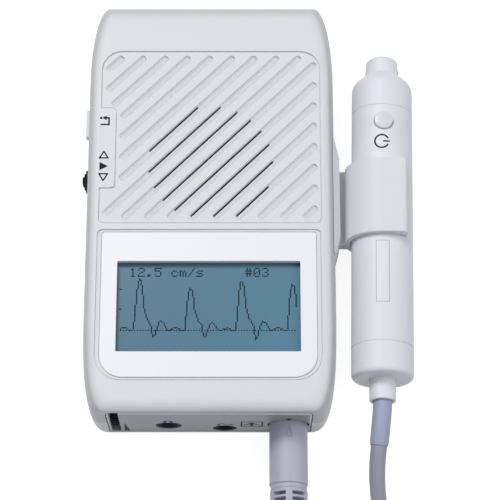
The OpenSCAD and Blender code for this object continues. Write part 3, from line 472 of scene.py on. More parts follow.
def copied(node, name):
    """A copy of a solid's mesh with its loose triangles merged, and flat faces made whole."""
    thing = bpy.data.objects.new(name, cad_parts[node].data.copy())
    bpy.context.scene.collection.objects.link(thing)
    weld_mesh(thing, 1e-6)
    flat = thing.modifiers.new("flat", "DECIMATE")
    flat.decimate_type, flat.angle_limit = "DISSOLVE", radians(0.5)
    return bake(thing)


# ---------------------------------------------------------------- node trees


def add(tree, kind, inputs=None, **settings):
    """Adds a node. An input that is a socket is linked, and any other is set."""
    step = tree.nodes.new(kind)
    for key, value in settings.items():
        setattr(step, key, value)
    for key, value in (inputs or {}).items():
        if isinstance(value, bpy.types.NodeSocket):
            tree.links.new(value, step.inputs[key])
        else:
            step.inputs[key].default_value = value
    return step


def finish(name, colour, roughness, build=None, **sockets):
    """A material on the Principled shader. build may link its colour, roughness and normal."""
    if name in bpy.data.materials:
        return bpy.data.materials[name]
    material = bpy.data.materials.new(name)
    material.use_nodes = True
    tree = material.node_tree
    shader = tree.nodes["Principled BSDF"]
    shader.inputs["Base Color"].default_value = colour
    shader.inputs["Roughness"].default_value = roughness
    for key, value in sockets.items():
        shader.inputs[key.replace("_", " ").title().replace("Ior", "IOR")].default_value = value
    if build:
        place = add(tree, "ShaderNodeTexCoord").outputs["Object"]
        build(tree, shader, place)
    return material


def shades(colour, change):
    return tuple(min(1.0, max(0.0, c * (1 + change))) for c in colour[:3]) + (1.0,)


def per_metre(millimetres):
    """Scale of a texture whose features are this far apart."""
    return 1 / (millimetres * MM)


def mottle(tree, shader, place, colour, size, change, rough, spread):
    """Gives the colour and the roughness a slow change over the surface."""
    cloud = add(tree, "ShaderNodeTexNoise", {"Vector": place, "Scale": per_metre(size), "Detail": 3.0})
    blend = add(
        tree,
        "ShaderNodeMix",
        {0: cloud.outputs["Fac"], 6: shades(colour, -change), 7: shades(colour, change)},
        data_type="RGBA",
    )
    tree.links.new(blend.outputs[2], shader.inputs["Base Color"])
    worn = add(
        tree,
        "ShaderNodeMapRange",
        {"Value": cloud.outputs["Fac"], "To Min": rough - spread, "To Max": rough + spread},
    )
    tree.links.new(worn.outputs["Result"], shader.inputs["Roughness"])
    return blend.outputs[2]


def grain(tree, shader, place, size, strength, depth):
    """Bumps of a moulded or cast surface; size and depth in millimetres."""
    fine = add(tree, "ShaderNodeTexNoise", {"Vector": place, "Scale": per_metre(size), "Detail": 2.0})
    bump = add(
        tree,
        "ShaderNodeBump",
        {"Height": fine.outputs["Fac"], "Strength": strength, "Distance": depth * MM},
    )
    tree.links.new(bump.outputs["Normal"], shader.inputs["Normal"])


def even(name, colour, roughness, cloud, bumps=None, **sockets):
    """A material of one colour. cloud holds its mottle's size, change and spread, bumps its grain's size,
    strength and depth."""

    def build(tree, shader, place):
        size, change, spread = cloud
        mottle(tree, shader, place, colour, size, change, roughness, spread)
        if bumps:
            grain(tree, shader, place, *bumps)

    return finish(name, colour, roughness, build, **sockets)


def eroded_abs(name, colour, size, roughness=0.52, grille=False):
    """ABS from a spark-eroded mould: dull, with a fine even grain that breaks up its highlights. For the
    grille it paints shade by height into the grooves and onto the slits' walls.
    """

    def build(tree, shader, place):
        last = mottle(tree, shader, place, colour, 14, 0.012, roughness, 0.05)
        grain(tree, shader, place, size, 0.6, 0.045)
        if not grille:
            return
        # Grime and painted shade in the grooves, and painted shadow on the slits' walls, which lie round the
        # grille's middle
        height = add(tree, "ShaderNodeSeparateXYZ", {"Vector": place}).outputs["Z"]
        away = add(
            tree,
            "ShaderNodeVectorMath",
            {0: place, 1: tuple(number * MM for number in GRILLE_MIDDLE)},
            operation="DISTANCE",
        )
        near = add(
            tree,
            "ShaderNodeMapRange",
            {"Value": away.outputs["Value"], "From Min": GRILLE_REACH[0] * MM,
             "From Max": GRILLE_REACH[1] * MM, "To Min": 0.0, "To Max": 0.9},
        )
        for (low, high), least, darker in ((GROOVE_GRIME_AND_SHADE_Z, 0.0, 0.14), (SLIT_SHADE_Z, near.outputs["Result"], 0.95)):
            share = add(
                tree,
                "ShaderNodeMapRange",
                {"Value": height, "From Min": low * MM, "From Max": high * MM, "To Min": least},
            )
            last = add(
                tree,
                "ShaderNodeMix",
                {0: share.outputs["Result"], 6: shades(colour, -darker), 7: last},
                data_type="RGBA",
            ).outputs[2]
        tree.links.new(last, shader.inputs["Base Color"])

    return finish(name, colour, roughness, build, ior=1.53)


def polished_abs(name, colour, roughness):
    """ABS from a polished mould: smooth with a soft sheen and faint marks of handling."""
    return even(name, colour, roughness, (9, 0.01, 0.06), (0.9, 0.12, 0.02), ior=1.53)


def filled_nylon(name, colour, roughness=0.55):
    """Glass-filled nylon, moulded and dull: nearly black with a blue tint and short pale flow marks."""
    return even(
        name, colour, roughness, (1.6, 0.25, 0.08), (0.3, 0.4, 0.02), ior=1.53, specular_ior_level=0.06
    )


def printing_ink(name, colour):
    """Pad-printing ink: thin, dull, and a little uneven in its cover."""
    return even(name, colour, 0.6, (0.5, 0.12, 0.05), specular_ior_level=0.1)


def label_film(name, colour):
    """Polycarbonate film with a velvet face: even, satin, with a very fine texture."""
    return even(name, colour, 0.38, (20, 0.006, 0.03), (0.35, 0.08, 0.01), ior=1.58)


def seen_rays(tree, *kinds):
    """1 for rays of these kinds and 0 for the rest."""
    path = add(tree, "ShaderNodeLightPath")
    seen = path.outputs[kinds[0]]
    for kind in kinds[1:]:
        either = add(tree, "ShaderNodeMath", {0: seen, 1: path.outputs[kind]}, operation="MAXIMUM")
        seen = either.outputs["Value"]
    return seen


def display_cell(name, colour, pitch):
    """Reflective liquid crystal cell: blue green behind smooth glass, with painted shade that makes it darker
    towards its left and lighter towards its right, and the faint grid of its dots."""

    def build(tree, shader, place):
        at = add(tree, "ShaderNodeSeparateXYZ", {"Vector": place})
        # Painted shade: the colour runs from darker at the window's left edge to lighter at its right
        across = add(
            tree,
            "ShaderNodeMapRange",
            {"Value": at.outputs["X"], "From Min": WINDOW[0] * MM, "From Max": WINDOW[1] * MM},
        )
        wide = add(
            tree,
            "ShaderNodeMix",
            {0: across.outputs["Result"], 6: shades(colour, -0.10), 7: shades(colour, 0.12)},
            data_type="RGBA",
        )
        cells = add(
            tree,
            "ShaderNodeTexBrick",
            {
                "Vector": place,
                "Color1": (1, 1, 1, 1),
                "Color2": (0.985, 0.985, 0.985, 1),
                "Mortar": (0.9, 0.9, 0.9, 1),
                "Scale": per_metre(pitch),
                "Mortar Size": 0.08,
                "Brick Width": 1.0,
                "Row Height": 1.0,
            },
            offset=0.0,
        )
        ruled = add(
            tree,
            "ShaderNodeMix",
            {0: 1.0, 6: wide.outputs[2], 7: cells.outputs["Color"]},
            data_type="RGBA",
            blend_type="MULTIPLY",
        )
        tree.links.new(ruled.outputs[2], shader.inputs["Base Color"])

    return finish(name, colour, 0.18, build, ior=1.5)


def soft_jacket(name, colour, roughness=0.45):
    """Soft PVC, extruded: dull and slightly greasy, with faint draw marks."""
    return even(name, colour, roughness, (6, 0.03, 0.06), (0.5, 0.2, 0.02), ior=1.52)


def plated_metal(name, colour, roughness, size=0.4):
    """Plated steel or brass: bright, with fine marks of its tool."""
    return even(name, colour, roughness, (size * 4, 0.06, 0.07), (size, 0.15, 0.01), metallic=1.0)


def circuit_laminate(name, colour):
    """Glass-epoxy board under green solder resist, with lighter tracks."""

    def build(tree, shader, place):
        tracks = add(
            tree,
            "ShaderNodeTexBrick",
            {
                "Vector": place,
                "Color1": shades(colour, 0.12),
                "Color2": shades(colour, -0.12),
                "Mortar": shades(colour, 0.9),
                "Scale": per_metre(3.2),
                "Mortar Size": 0.035,
            },
        )
        tree.links.new(tracks.outputs["Color"], shader.inputs["Base Color"])
        grain(tree, shader, place, 0.6, 0.2, 0.02)

    return finish(name, colour, 0.3, build, ior=1.55)


def speaker_cloth(name, colour):
    """Plain-woven acoustic cloth, black: the threads stand 0.5 mm apart, twice the real size to show."""

    def build(tree, shader, place):
        slant = add(tree, "ShaderNodeMapping", {"Vector": place, "Rotation": (0, 0, pi / 4)})
        weave = add(
            tree,
            "ShaderNodeTexChecker",
            {"Vector": slant.outputs["Vector"], "Scale": per_metre(0.5),
             "Color1": shades(colour, 0.8), "Color2": shades(colour, -0.6)},
        )
        tree.links.new(weave.outputs["Color"], shader.inputs["Base Color"])
        bump = add(
            tree, "ShaderNodeBump", {"Height": weave.outputs["Fac"], "Strength": 0.5, "Distance": 0.1 * MM}
        )
        tree.links.new(bump.outputs["Normal"], shader.inputs["Normal"])

    return finish(name, colour, 0.95, build)


def pressed_paper(name, colour):
    """Paper pulp of a loudspeaker's cone: felted and dull."""
    return even(name, colour, 0.9, (0.8, 0.3, 0.05), (0.25, 0.6, 0.05))


def cast_mass(name, colour, roughness, size, change=0.12):
    """Sintered, cast or fired material: even with small dark pores."""
    return even(name, colour, roughness, (size, change, 0.08), (size / 2, 0.5, 0.04))


def cell_wrap(name):
    """Shrink film of a dry cell: a dark blue jacket with a bare steel rim at both ends."""
    steel, blue, pale = linear("#B9BABC"), linear("#22375C"), linear("#C7CBD1")

    def build(tree, shader, place):
        at = add(tree, "ShaderNodeSeparateXYZ", {"Vector": place})
        share = add(
            tree,
            "ShaderNodeMapRange",
            {"Value": at.outputs["Y"], "From Min": BAY[2] * MM, "From Max": BAY[3] * MM},
        )
        band = add(tree, "ShaderNodeValToRGB", {"Fac": share.outputs["Result"]})
        ramp = band.color_ramp
        ramp.interpolation = "CONSTANT"
        ramp.elements[0].color = steel
        ramp.elements[1].position, ramp.elements[1].color = 0.075, blue
        for position, colour in ((0.30, pale), (0.34, blue), (0.925, steel)):
            ramp.elements.new(position).color = colour
        tree.links.new(band.outputs["Color"], shader.inputs["Base Color"])
        grain(tree, shader, place, 1.5, 0.1, 0.02)

    return finish(name, blue, 0.3, build, ior=1.5)


def lit_acrylic(name, colour):
    """Opal acrylic that spreads the display's light."""
    return even(name, colour, 0.3, (5, 0.02, 0.05), ior=1.49)


# ---------------------------------------------------------------- attaching


def dress(thing, material, body, slot, *nodes):
    """Gives a finished piece its material and its body, and hides the solids it stands for; the slot is not
    used.
    """
    if material:
        thing.data.materials.clear()
        thing.data.materials.append(material)
    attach(thing, body)
    if nodes:
        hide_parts(*nodes)
    return thing


def paint(node, material):
    """Gives a solid that stays visible its material."""
    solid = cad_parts[node]
    solid.data.materials.clear()
    solid.data.materials.append(material)


def shell_material(context):
    look = context.scene.doppler_housing
    return eroded_abs("eroded_abs_shell", look.shell[:], look.grain / MM)


def dark_nylon():
    return filled_nylon("filled_nylon_dark", linear("#14141F"))


# ---------------------------------------------------------------- Geometry Nodes


def geometry_tree(name, sockets):
    """A new tree with named inputs besides its geometry; returns the tree and its input node."""
    tree = bpy.data.node_groups.new(name, "GeometryNodeTree")
    tree.interface.new_socket("Geometry", in_out="INPUT", socket_type="NodeSocketGeometry")
    for label, kind, value in sockets:
        socket = tree.interface.new_socket(label, in_out="INPUT", socket_type=kind)
        if value is not None:
            socket.default_value = value
    tree.interface.new_socket("Geometry", in_out="OUTPUT", socket_type="NodeSocketGeometry")
    return tree, tree.nodes.new("NodeGroupInput")


def end_tree(tree, geometry, material):
    """Every tree ends in real meshes with their material set."""
    real = add(tree, "GeometryNodeRealizeInstances", {"Geometry": geometry})
    painted = add(
        tree, "GeometryNodeSetMaterial", {"Geometry": real.outputs["Geometry"], "Material": material}
    )
    add(tree, "NodeGroupOutput", {"Geometry": painted.outputs["Geometry"]})


def grown(thing, tree, values, material):
    """Runs a tree on an object, with its inputs set by their identifiers, and keeps the plain mesh."""
    step = thing.modifiers.new("grow", "NODES")
    step.node_group = tree
    names = {item.name: item.identifier for item in tree.interface.items_tree if item.in_out == "INPUT"}
    for label, value in values.items():
        step[names[label]] = value
    bake(thing)
    thing.data.materials.clear()
    thing.data.materials.append(material)
    return thing


def dot_tree(material):
    """A square dot on every point."""
    tree, source = geometry_tree("display_dots", [("Dot", "NodeSocketFloat", 0.38 * MM)])
    dot = add(
        tree,
        "GeometryNodeMeshGrid",
        {"Size X": source.outputs["Dot"], "Size Y": source.outputs["Dot"], "Vertices X": 2, "Vertices Y": 2},
    )
    placed = add(
        tree,
        "GeometryNodeInstanceOnPoints",
        {"Points": source.outputs["Geometry"], "Instance": dot.outputs["Mesh"]},
    )
    flat = add(tree, "GeometryNodeRealizeInstances", {"Geometry": placed.outputs["Instances"]})
    thick = add(tree, "GeometryNodeExtrudeMesh", {"Mesh": flat.outputs[0], "Offset Scale": 0.02 * MM})
    end_tree(tree, thick.outputs["Mesh"], material)
    return tree


def rim_tree(material):
    """Ribs round a wheel whose shaft runs along X, added to the wheel's own mesh."""
    tree, source = geometry_tree(
        "wheel_ribs",
        [
            ("Ribs", "NodeSocketInt", 48),
            ("Radius", "NodeSocketFloat", 8.7 * MM),
            ("Rib", "NodeSocketFloat", 0.3 * MM),
            ("Width", "NodeSocketFloat", 2.0 * MM),
            ("Centre", "NodeSocketVector", None),
        ],
    )
    circle = add(
        tree,
        "GeometryNodeMeshCircle",
        {"Vertices": source.outputs["Ribs"], "Radius": source.outputs["Radius"]},
    )
    rib = add(
        tree,
        "GeometryNodeMeshCylinder",
        {"Vertices": 10, "Side Segments": 1, "Radius": source.outputs["Rib"],
         "Depth": source.outputs["Width"]},
    )
    ribs = add(
        tree,
        "GeometryNodeInstanceOnPoints",
        {"Points": circle.outputs["Mesh"], "Instance": rib.outputs["Mesh"]},
    )
    flat = add(tree, "GeometryNodeRealizeInstances", {"Geometry": ribs.outputs["Instances"]})
    upright = add(
        tree,
        "GeometryNodeTransform",
        {
            "Geometry": flat.outputs[0],
            "Rotation": Euler((0, pi / 2, 0)),
            "Translation": source.outputs["Centre"],
        },
    )
    both = add(tree, "GeometryNodeJoinGeometry", {"Geometry": source.outputs["Geometry"]})
    tree.links.new(upright.outputs["Geometry"], both.inputs["Geometry"])
    end_tree(tree, both.outputs["Geometry"], material)
    return tree


def spring_tree(material):
    """A conical wire spring on every point; the points' attribute "facing" turns each one."""
    tree, source = geometry_tree(
        "cell_springs",
        [
            ("Wire", "NodeSocketFloat", 0.3 * MM),
            ("Wide", "NodeSocketFloat", 4.2 * MM),
            ("Narrow", "NodeSocketFloat", 2.3 * MM),
            ("Height", "NodeSocketFloat", 1.6 * MM),
        ],
    )
    spiral = add(
        tree,
        "GeometryNodeCurveSpiral",
        {
            "Resolution": 24,
            "Rotations": 3.5,
            "Start Radius": source.outputs["Wide"],
            "End Radius": source.outputs["Narrow"],
            "Height": source.outputs["Height"],
        },
    )
    section = add(
        tree, "GeometryNodeCurvePrimitiveCircle", {"Resolution": 8, "Radius": source.outputs["Wire"]}
    )
    wire = add(
        tree,
        "GeometryNodeCurveToMesh",
        {"Curve": spiral.outputs["Curve"], "Profile Curve": section.outputs["Curve"], "Fill Caps": True},
    )
    facing = add(tree, "GeometryNodeInputNamedAttribute", {"Name": "facing"}, data_type="FLOAT_VECTOR")
    placed = add(
        tree,
        "GeometryNodeInstanceOnPoints",
        {
            "Points": source.outputs["Geometry"],
            "Instance": wire.outputs["Mesh"],
            "Rotation": facing.outputs["Attribute"],
        },
    )
    end_tree(tree, placed.outputs["Instances"], material)
    return tree


def repeat_tree(name, material):
    """A copy of a pattern object on every point, turned by the points' attribute "facing"."""
    tree, source = geometry_tree(
        name, [("Pattern", "NodeSocketObject", None), ("Size", "NodeSocketFloat", 1.0)]
    )
    shape = add(tree, "GeometryNodeObjectInfo", {"Object": source.outputs["Pattern"]})
    facing = add(tree, "GeometryNodeInputNamedAttribute", {"Name": "facing"}, data_type="FLOAT_VECTOR")
    placed = add(
        tree,
        "GeometryNodeInstanceOnPoints",
        {
            "Points": source.outputs["Geometry"],
            "Instance": shape.outputs["Geometry"],
            "Rotation": facing.outputs["Attribute"],
            "Scale": source.outputs["Size"],
        },
    )
    end_tree(tree, placed.outputs["Instances"], material)
    return tree


def point_cloud(name, points, facing=None):
    """An object with loose points for a tree, each with its turn in radians."""
    thing = mesh_object(name, points, [], weld=False)
    if facing:
        turns = thing.data.attributes.new("facing", "FLOAT_VECTOR", "POINT")
        for item, value in zip(turns.data, facing):
            item.vector = value
    return thing


def repeated(name, pattern, points, facing, material):
    """The pattern's shape at every point as one plain mesh; the pattern object is taken away."""
    thing = point_cloud(name, points, facing)
    grown(thing, repeat_tree(name, material), {"Pattern": pattern}, material)
    bpy.data.objects.remove(pattern)
    return thing


# ---------------------------------------------------------------- the operators


class DOPPLER_OT_studio(bpy.types.Operator):
    """Add the floor, the backdrop, the lamps and the camera"""

    bl_idname = "doppler.studio"
    bl_label = "Studio"

    def execute(self, context):
        scene, look = context.scene, context.scene.doppler_studio
        scene.view_settings.view_transform = "Standard"
        aim = Vector((12.4, -12.3, 14.0)) * MM
        back = Vector((0, -cos(look.elevation), sin(look.elevation)))
        lens = bpy.data.cameras.new("camera")
        lens.lens, lens.sensor_width, lens.clip_start, lens.clip_end = look.lens, 36, 0.01, 20
        camera = bpy.data.objects.new("camera", lens)
        camera.location = aim + back * look.distance
        camera.rotation_euler = (pi / 2 - look.elevation, 0, 0)
        scene.collection.objects.link(camera)
        scene.camera = camera

        far, near, drop = 3000, 2900, -0.05
        ground = [(-far, -far, drop), (far, -far, drop), (far, far, drop), (-far, far, drop)]
        wall = [(-far, near, -10), (far, near, -10), (far, near, far), (-far, near, far)]
        floor, back_wall = (
            mesh_object(name, corners, [(0, 1, 2, 3)], weld=False)
            for name, corners in (("floor", ground), ("backdrop", wall))
        )
        for sheet in (floor, back_wall):
            sheet.data.materials.append(self.paper())

        for name, power, size, at in (
            ("key", look.lamp, 0.5, (-0.46, 0.68, 1.38)),
            ("fill", look.lamp * 0.32, 0.9, (0.75, -0.1, 1.05)),
        ):
            lamp = bpy.data.lights.new(name, "AREA")
            lamp.energy, lamp.size = power, size
            thing = bpy.data.objects.new(name, lamp)
            thing.location = at
            thing.rotation_euler = (aim - Vector(at)).to_track_quat("-Z", "Y").to_euler()
            scene.collection.objects.link(thing)

        world = bpy.data.worlds.new("studio")
        world.use_nodes = True
        tree = world.node_tree
        tree.nodes.clear()
        seen = seen_rays(tree, "Is Camera Ray", "Is Glossy Ray", "Is Transmission Ray")
        dull = add(tree, "ShaderNodeBackground", {"Color": (1, 1, 1, 1), "Strength": look.sky})
        white = add(tree, "ShaderNodeBackground", {"Color": (1, 1, 1, 1), "Strength": 1.0})
        mixed = add(
            tree,
            "ShaderNodeMixShader",
            {0: seen, 1: dull.outputs["Background"], 2: white.outputs["Background"]},
        )
        add(tree, "ShaderNodeOutputWorld", {"Surface": mixed.outputs["Shader"]})
        scene.world = world
        return {"FINISHED"}

    def paper(self):
        """Seamless background paper: matt and pale; it glows for the camera, as if lit by itself."""
        if "seamless_paper" in bpy.data.materials:
            return bpy.data.materials["seamless_paper"]
        material = bpy.data.materials.new("seamless_paper")
        material.use_nodes = True
        tree = material.node_tree
        tree.nodes.clear()
        place = add(tree, "ShaderNodeTexCoord").outputs["Object"]
        fibre = add(tree, "ShaderNodeTexNoise", {"Vector": place, "Scale": per_metre(60), "Detail": 2.0})
        tone = add(
            tree,
            "ShaderNodeMix",
            {0: fibre.outputs["Fac"], 6: linear("#BDBDBD"), 7: linear("#C3C3C3")},
            data_type="RGBA",
        )
        matt = add(tree, "ShaderNodeBsdfDiffuse", {"Color": tone.outputs[2]})
        glow = add(tree, "ShaderNodeEmission", {"Color": (1, 1, 1, 1), "Strength": 0.86})
        lit = add(tree, "ShaderNodeAddShader", {0: matt.outputs["BSDF"], 1: glow.outputs["Emission"]})
        seen = seen_rays(tree, "Is Camera Ray", "Is Glossy Ray")
        both = add(
            tree, "ShaderNodeMixShader", {0: seen, 1: matt.outputs["BSDF"], 2: lit.outputs["Shader"]}
        )
        add(tree, "ShaderNodeOutputMaterial", {"Surface": both.outputs["Shader"]})
        return material


# The cord's route, with the same points as its solids
SHEATH_POINTS = 5
COIL_Y, COIL_R, COIL_CORE = BOTTOM_Y - 101, 31.0, 16.4
BEND_Y = -106
PROBE_BENDS = [
    (0, -57, 0), (0, -62.5, 0), (-0.2, -66, -0.1), (-0.65, -71, -0.5), (-1.1, -76, -1.3),
    (-1.5, -81, -2.6), (-1.5, -86, -4.4), (-1, -91, -6.6), (-0.1, -96, -8.8), (1.3, -101, -10.6),
    (3.2, -106, -11.7), (5.5, -111, -12.15), (8, -116, -12.2), (10.8, -121.5, -12.2), (13.6, -127.5, -12.2),
    (16.1, -134, -12.2), (18, -141, -12.2), (19.1, -148, -12.2), (19.65, -155, -12.2), (19.8, -162, -12.2),
]
STRAIGHT_Y = BOTTOM_Y - 47
CORD_D = 4.5
TURN_STEPS = 48


def probe_route():
    """From the probe down to the table and out to the coil."""
    route = []
    last_y = PROBE_BENDS[-1][1]
    for x, y, z in PROBE_BENDS:
        if y < BEND_Y:
            y = BEND_Y + (y - BEND_Y) * (COIL_Y - BEND_Y) / (last_y - BEND_Y)
        route.append((PROBE_X + x + (y - CLIP_Y) * math.tan(PROBE_TILT), y, PROBE_Z + z))
    return route


COIL_X = probe_route()[-1][0] - COIL_R


def plug_route():
    """From the coil's top turn up to the plug."""
    left, low = COIL_X - COIL_R, 1.5 * CORD_D + 0.05
    route = []
    for i in range(11):
        u = i / 10
        s = (1 - cos(pi * u)) / 2
        route.append(
            (left + (SOCKET_X - left) * s, COIL_Y + (STRAIGHT_Y - COIL_Y) * u,
             low + (SOCKET_Z - low) * s - 0.9 * sin(pi * u))
        )
    return route + [(SOCKET_X, STRAIGHT_Y + 6, SOCKET_Z), (SOCKET_X, BOTTOM_Y - 23, SOCKET_Z)]


def coil_route(turns):
    """Half the turns wind inwards on the table, the other half outwards on top of them."""
    half, count = turns / 2, round(turns * TURN_STEPS)
    route = []
    for i in range(count + 1):
        t = turns * i / count
        share = t / half if t < half else 2 - t / half
        r = COIL_R - (COIL_R - COIL_CORE) * share
        rise = min(1, max(0, (t - half + 0.25) / 0.5))
        rise = rise * rise * (3 - 2 * rise)
        a = -2 * pi * t
        route.append((COIL_X + r * cos(a), COIL_Y + r * sin(a), CORD_D / 2 + 0.05 + CORD_D * rise))
    return route


class DOPPLER_OT_cord(bpy.types.Operator):
    """Add the probe's cord with its coil, and the tie round the coil"""

    bl_idname = "doppler.cord"
    bl_label = "Cord"

    def execute(self, context):
        look = context.scene.doppler_cord
        first = smooth_path(probe_route()[1:], 1.5)
        last = smooth_path(plug_route(), 1.5)
        path = first[:-1] + [Vector(p) for p in coil_route(look.turns)] + last[1:]
        jacket = soft_jacket("extruded_pvc", look.jacket[:])
        # The jacket is fuller where it leaves the sheath and thins over its first 40 steps, some 60 mm
        cord = swept(
            "cord", path, lambda i: look.diameter / MM / 2 * (1 + 0.16 * max(0.0, 1 - i / 40)), sides=16
        )
        soften(cord)
        cord.data.materials.append(jacket)
        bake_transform(cord)
        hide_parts("cord_to_probe", "cord_coil", "cord_to_plug")

        tie = self.tie()
        soften(tie, 0.1)
        dress(tie, soft_jacket("woven_hook_tape", linear("#2A2A2E"), 0.8), "housing", "dark_plastic")
        return {"FINISHED"}

    def tie(self):
        """A flat band round the bundle at the coil's far side."""
        middle = COIL_Y - (COIL_R + COIL_CORE) / 2
        half = (COIL_R - COIL_CORE) / 2 + CORD_D / 2 + 0.25
        top = 2 * CORD_D + 0.35
        inner = rounded(middle - half, middle + half, -0.02, top, 2.2)
        outer = rounded(middle - half - 0.7, middle + half + 0.7, -0.04, top + 0.7, 2.8)
        band = prism("cord_tie", outer, COIL_X - 5, COIL_X + 5, "X")
        return combine(band, prism("hole", inner, COIL_X - 6, COIL_X + 6, "X"))


# The grille's grooves: how many, how far apart, where the middle one lies, and how long their round ends are
GROOVE_COUNT, GROOVE_STEP, GROOVE_MIDDLE, GROOVE_END = 17, 5, 14 - 34.4, 0.85
GROOVE_MARGIN_X, GROOVE_MARGIN_Y, GROOVE_MARGIN_NOTCH = 2.2, 2.4, 1.6
SLIT_HALF, SLIT_SHIFT = 0.28, 0.525


def groove_lines():
    """The grille's grooves as x of the lower and upper end and the offset c of the line y = x - c."""
    low_x, high_x = FIELD[0] + GROOVE_MARGIN_X, FIELD[1] - GROOVE_MARGIN_X
    low_y, high_y = FIELD[2] + GROOVE_MARGIN_Y, FIELD[3] - GROOVE_MARGIN_Y
    notch_x = NOTCH_X + GROOVE_MARGIN_X
    notch_low, notch_high = NOTCH_LOW - GROOVE_MARGIN_NOTCH, NOTCH_HIGH + GROOVE_MARGIN_NOTCH
    lines = []
    for k in range(GROOVE_COUNT):
        c = GROOVE_MIDDLE + (k - GROOVE_COUNT // 2) * GROOVE_STEP * sqrt(2)
        y = notch_x - c
        if y > notch_high:
            start = max(low_x, c + notch_high)
        elif y > notch_low:
            start = notch_x
        else:
            start = max(low_x, c + low_y)
        end = min(high_x, c + high_y)
        if end - start > 2 * GROOVE_END:
            lines.append((start, end, c))
    return lines


# Section of a groove across its line: a broad slope on the upper left, then a long rise
GROOVE_SECTION = [(-1.05, 0.3), (-1.05, 0.0), (-0.98, -0.2), (-0.7, -0.48), (-0.35, -0.72), (0.0, -0.84),
                  (0.3, -0.82), (0.7, -0.56), (1.1, -0.24), (1.35, 0.0), (1.35, 0.3)]


def groove_tool(top):
    """All grooves as one cutter; each section shrinks to a round end."""
    along, across = Vector((1, 1, 0)).normalized(), Vector((1, -1, 0)).normalized()
    points, faces = [], []
    count = len(GROOVE_SECTION)
    for start, end, c in groove_lines():
        first, last = Vector((start, start - c, top)), Vector((end, end - c, top))
        stations = [(first, -GROOVE_END * cos(a), max(0.06, sin(a)), max(0.06, sin(a))) for a in quarter(6)]
        stations += [(last, GROOVE_END * sin(a), max(0.06, cos(a)), 1.0) for a in quarter(6)]
        base = len(points)
        for centre, shift, size, sink in stations:
            for p, h in GROOVE_SECTION:
                depth = h if h > 0 else h * sink
                points.append(centre + along * shift + across * p * size + Vector((0, 0, depth)))
        faces.append(tuple(base + j for j in range(count)))
        for k in range(len(stations) - 1):
            for j in range(count):
                a, b = base + k * count + j, base + k * count + (j + 1) % count
                faces.append((a, b, b + count, a + count))
        faces.append(tuple(base + (len(stations) - 1) * count + j for j in reversed(range(count))))
    return mesh_object("grooves", points, faces)


def slit_tool():
    """Slits through the grooves' floors over the loudspeaker."""
    x, y, r = SPEAKER
    bars = []
    for start, end, c in groove_lines():
        away = abs(x - y - c) / sqrt(2)
        if away > r - 1.5:
            continue
        reach = sqrt(r * r - away * away) / sqrt(2) - 0.5
        middle = (x + y + c) / 2
        low, high = max(middle - reach, start), min(middle + reach, end)
        shift = SLIT_SHIFT / sqrt(2)
        a, b = Vector((low - shift, low - c + shift)), Vector((high - shift, high - c + shift))
        shape = arc(b, SLIT_HALF, -45, 135, 6) + arc(a, SLIT_HALF, 135, 315, 6)
        bars.append(prism("slit", shape, CEILING_Z - 1, BODY_T))
    return joined("slits", bars)


def channel(outer, inner, floor):
    """A fine moat at the foot of a recess's wall, between two outlines."""
    moat = prism("moat", outer, floor - MOAT_DEPTH, BODY_T + 1)
    return combine(moat, prism("core", inner, floor - 1, BODY_T + 2))


def field_form(name, inset, low):
    """The grille's field with its notch for the signs, whose corners are cut off slantwise."""
    form = prism(name, rounded(*shrunk(FIELD, inset), 1.6, 6.5 - inset), low, BODY_T + 1)
    right, bottom, top = NOTCH_X + inset, NOTCH_LOW - inset, NOTCH_HIGH + inset
    notch = [(-60, bottom), (right - 1.1, bottom), (right - 0.3, bottom + 0.35), (right, bottom + 1.1),
             (right, top - 1.2), (right - 1.2, top), (-60, top)]
    return combine(form, prism("notch", notch, low - 1, BODY_T + 2))


class DOPPLER_OT_front_case(bpy.types.Operator):
    """Add the front case with its grille, display field and openings"""

    bl_idname = "doppler.front_case"
    bl_label = "Front case"

    def execute(self, context):
        look = context.scene.doppler_housing
        case = loft("front_shell", front_rows())
        inner = [(SEAM_Z - 1, [WALL] * 3)] + front_rows(WALL, 10)
        combine(case, loft("hollow", inner))
        lip = prism("lip", outline(0.95, 0.95, 0.95), SEAM_Z - 1, SEAM_Z + 1.3)
        combine(case, lip)

        field_top = BODY_T - FIELD_DEPTH
        combine(case, field_form("field", 0, field_top))
        moat = field_form("moat", 0.0, field_top - MOAT_DEPTH)
        combine(case, combine(moat, field_form("core", 0.32, field_top - 1)))
        combine(case, groove_tool(field_top))
        combine(case, slit_tool())
        bed, border = BODY_T - DISPLAY_DEPTH, rounded(*RECESS, 8, 1.8)
        combine(case, prism("display", border, bed, BODY_T + 1))
        combine(case, channel(border, rounded(*shrunk(RECESS, 0.3), 7.7, 1.5), bed))
        around, under = rounded(*shrunk(LABEL, -0.27), 7.2, 1.0), rounded(*shrunk(LABEL, 0.15), 6.8, 0.7)
        combine(case, channel(around, under, bed))
        combine(case, prism("window", rounded(*WINDOW, 0.3), CEILING_Z - 1, BODY_T))
        wide = PANEL_W / 2 + 0.25
        panel = rounded(-wide, wide, PANEL_LOW - 0.1, PANEL_HIGH + 0.5, 0.3, 2.2)
        combine(case, prism("panel", panel, BOTTOM_Y - 1, PANEL_Y + PANEL_T, "Y"))
        for middle, half, height in SIDE_SLOTS:
            slot = rounded(middle - half, middle + half, CONTROL_Z - height, CONTROL_Z + height, 0.5)
            combine(case, prism("slot", slot, -48, -36.5, "X"))
        combine(case, block("seat", *SEAT_CUT))
        soften(case, look.edge / MM)
        # The grille's grooves and slits get painted shade from this material
        material = eroded_abs("eroded_abs_front", look.shell[:], look.grain / MM, grille=True)
        dress(case, material, "housing", "housing_shell", "front_case")
        return {"FINISHED"}


def cover_section(grow):
    low, high = COVER_HALF + grow, COVER_HALF + DOVETAIL + grow
    return [(-low, 0), (low, 0), (high, COVER_T + grow), (-high, COVER_T + grow)]


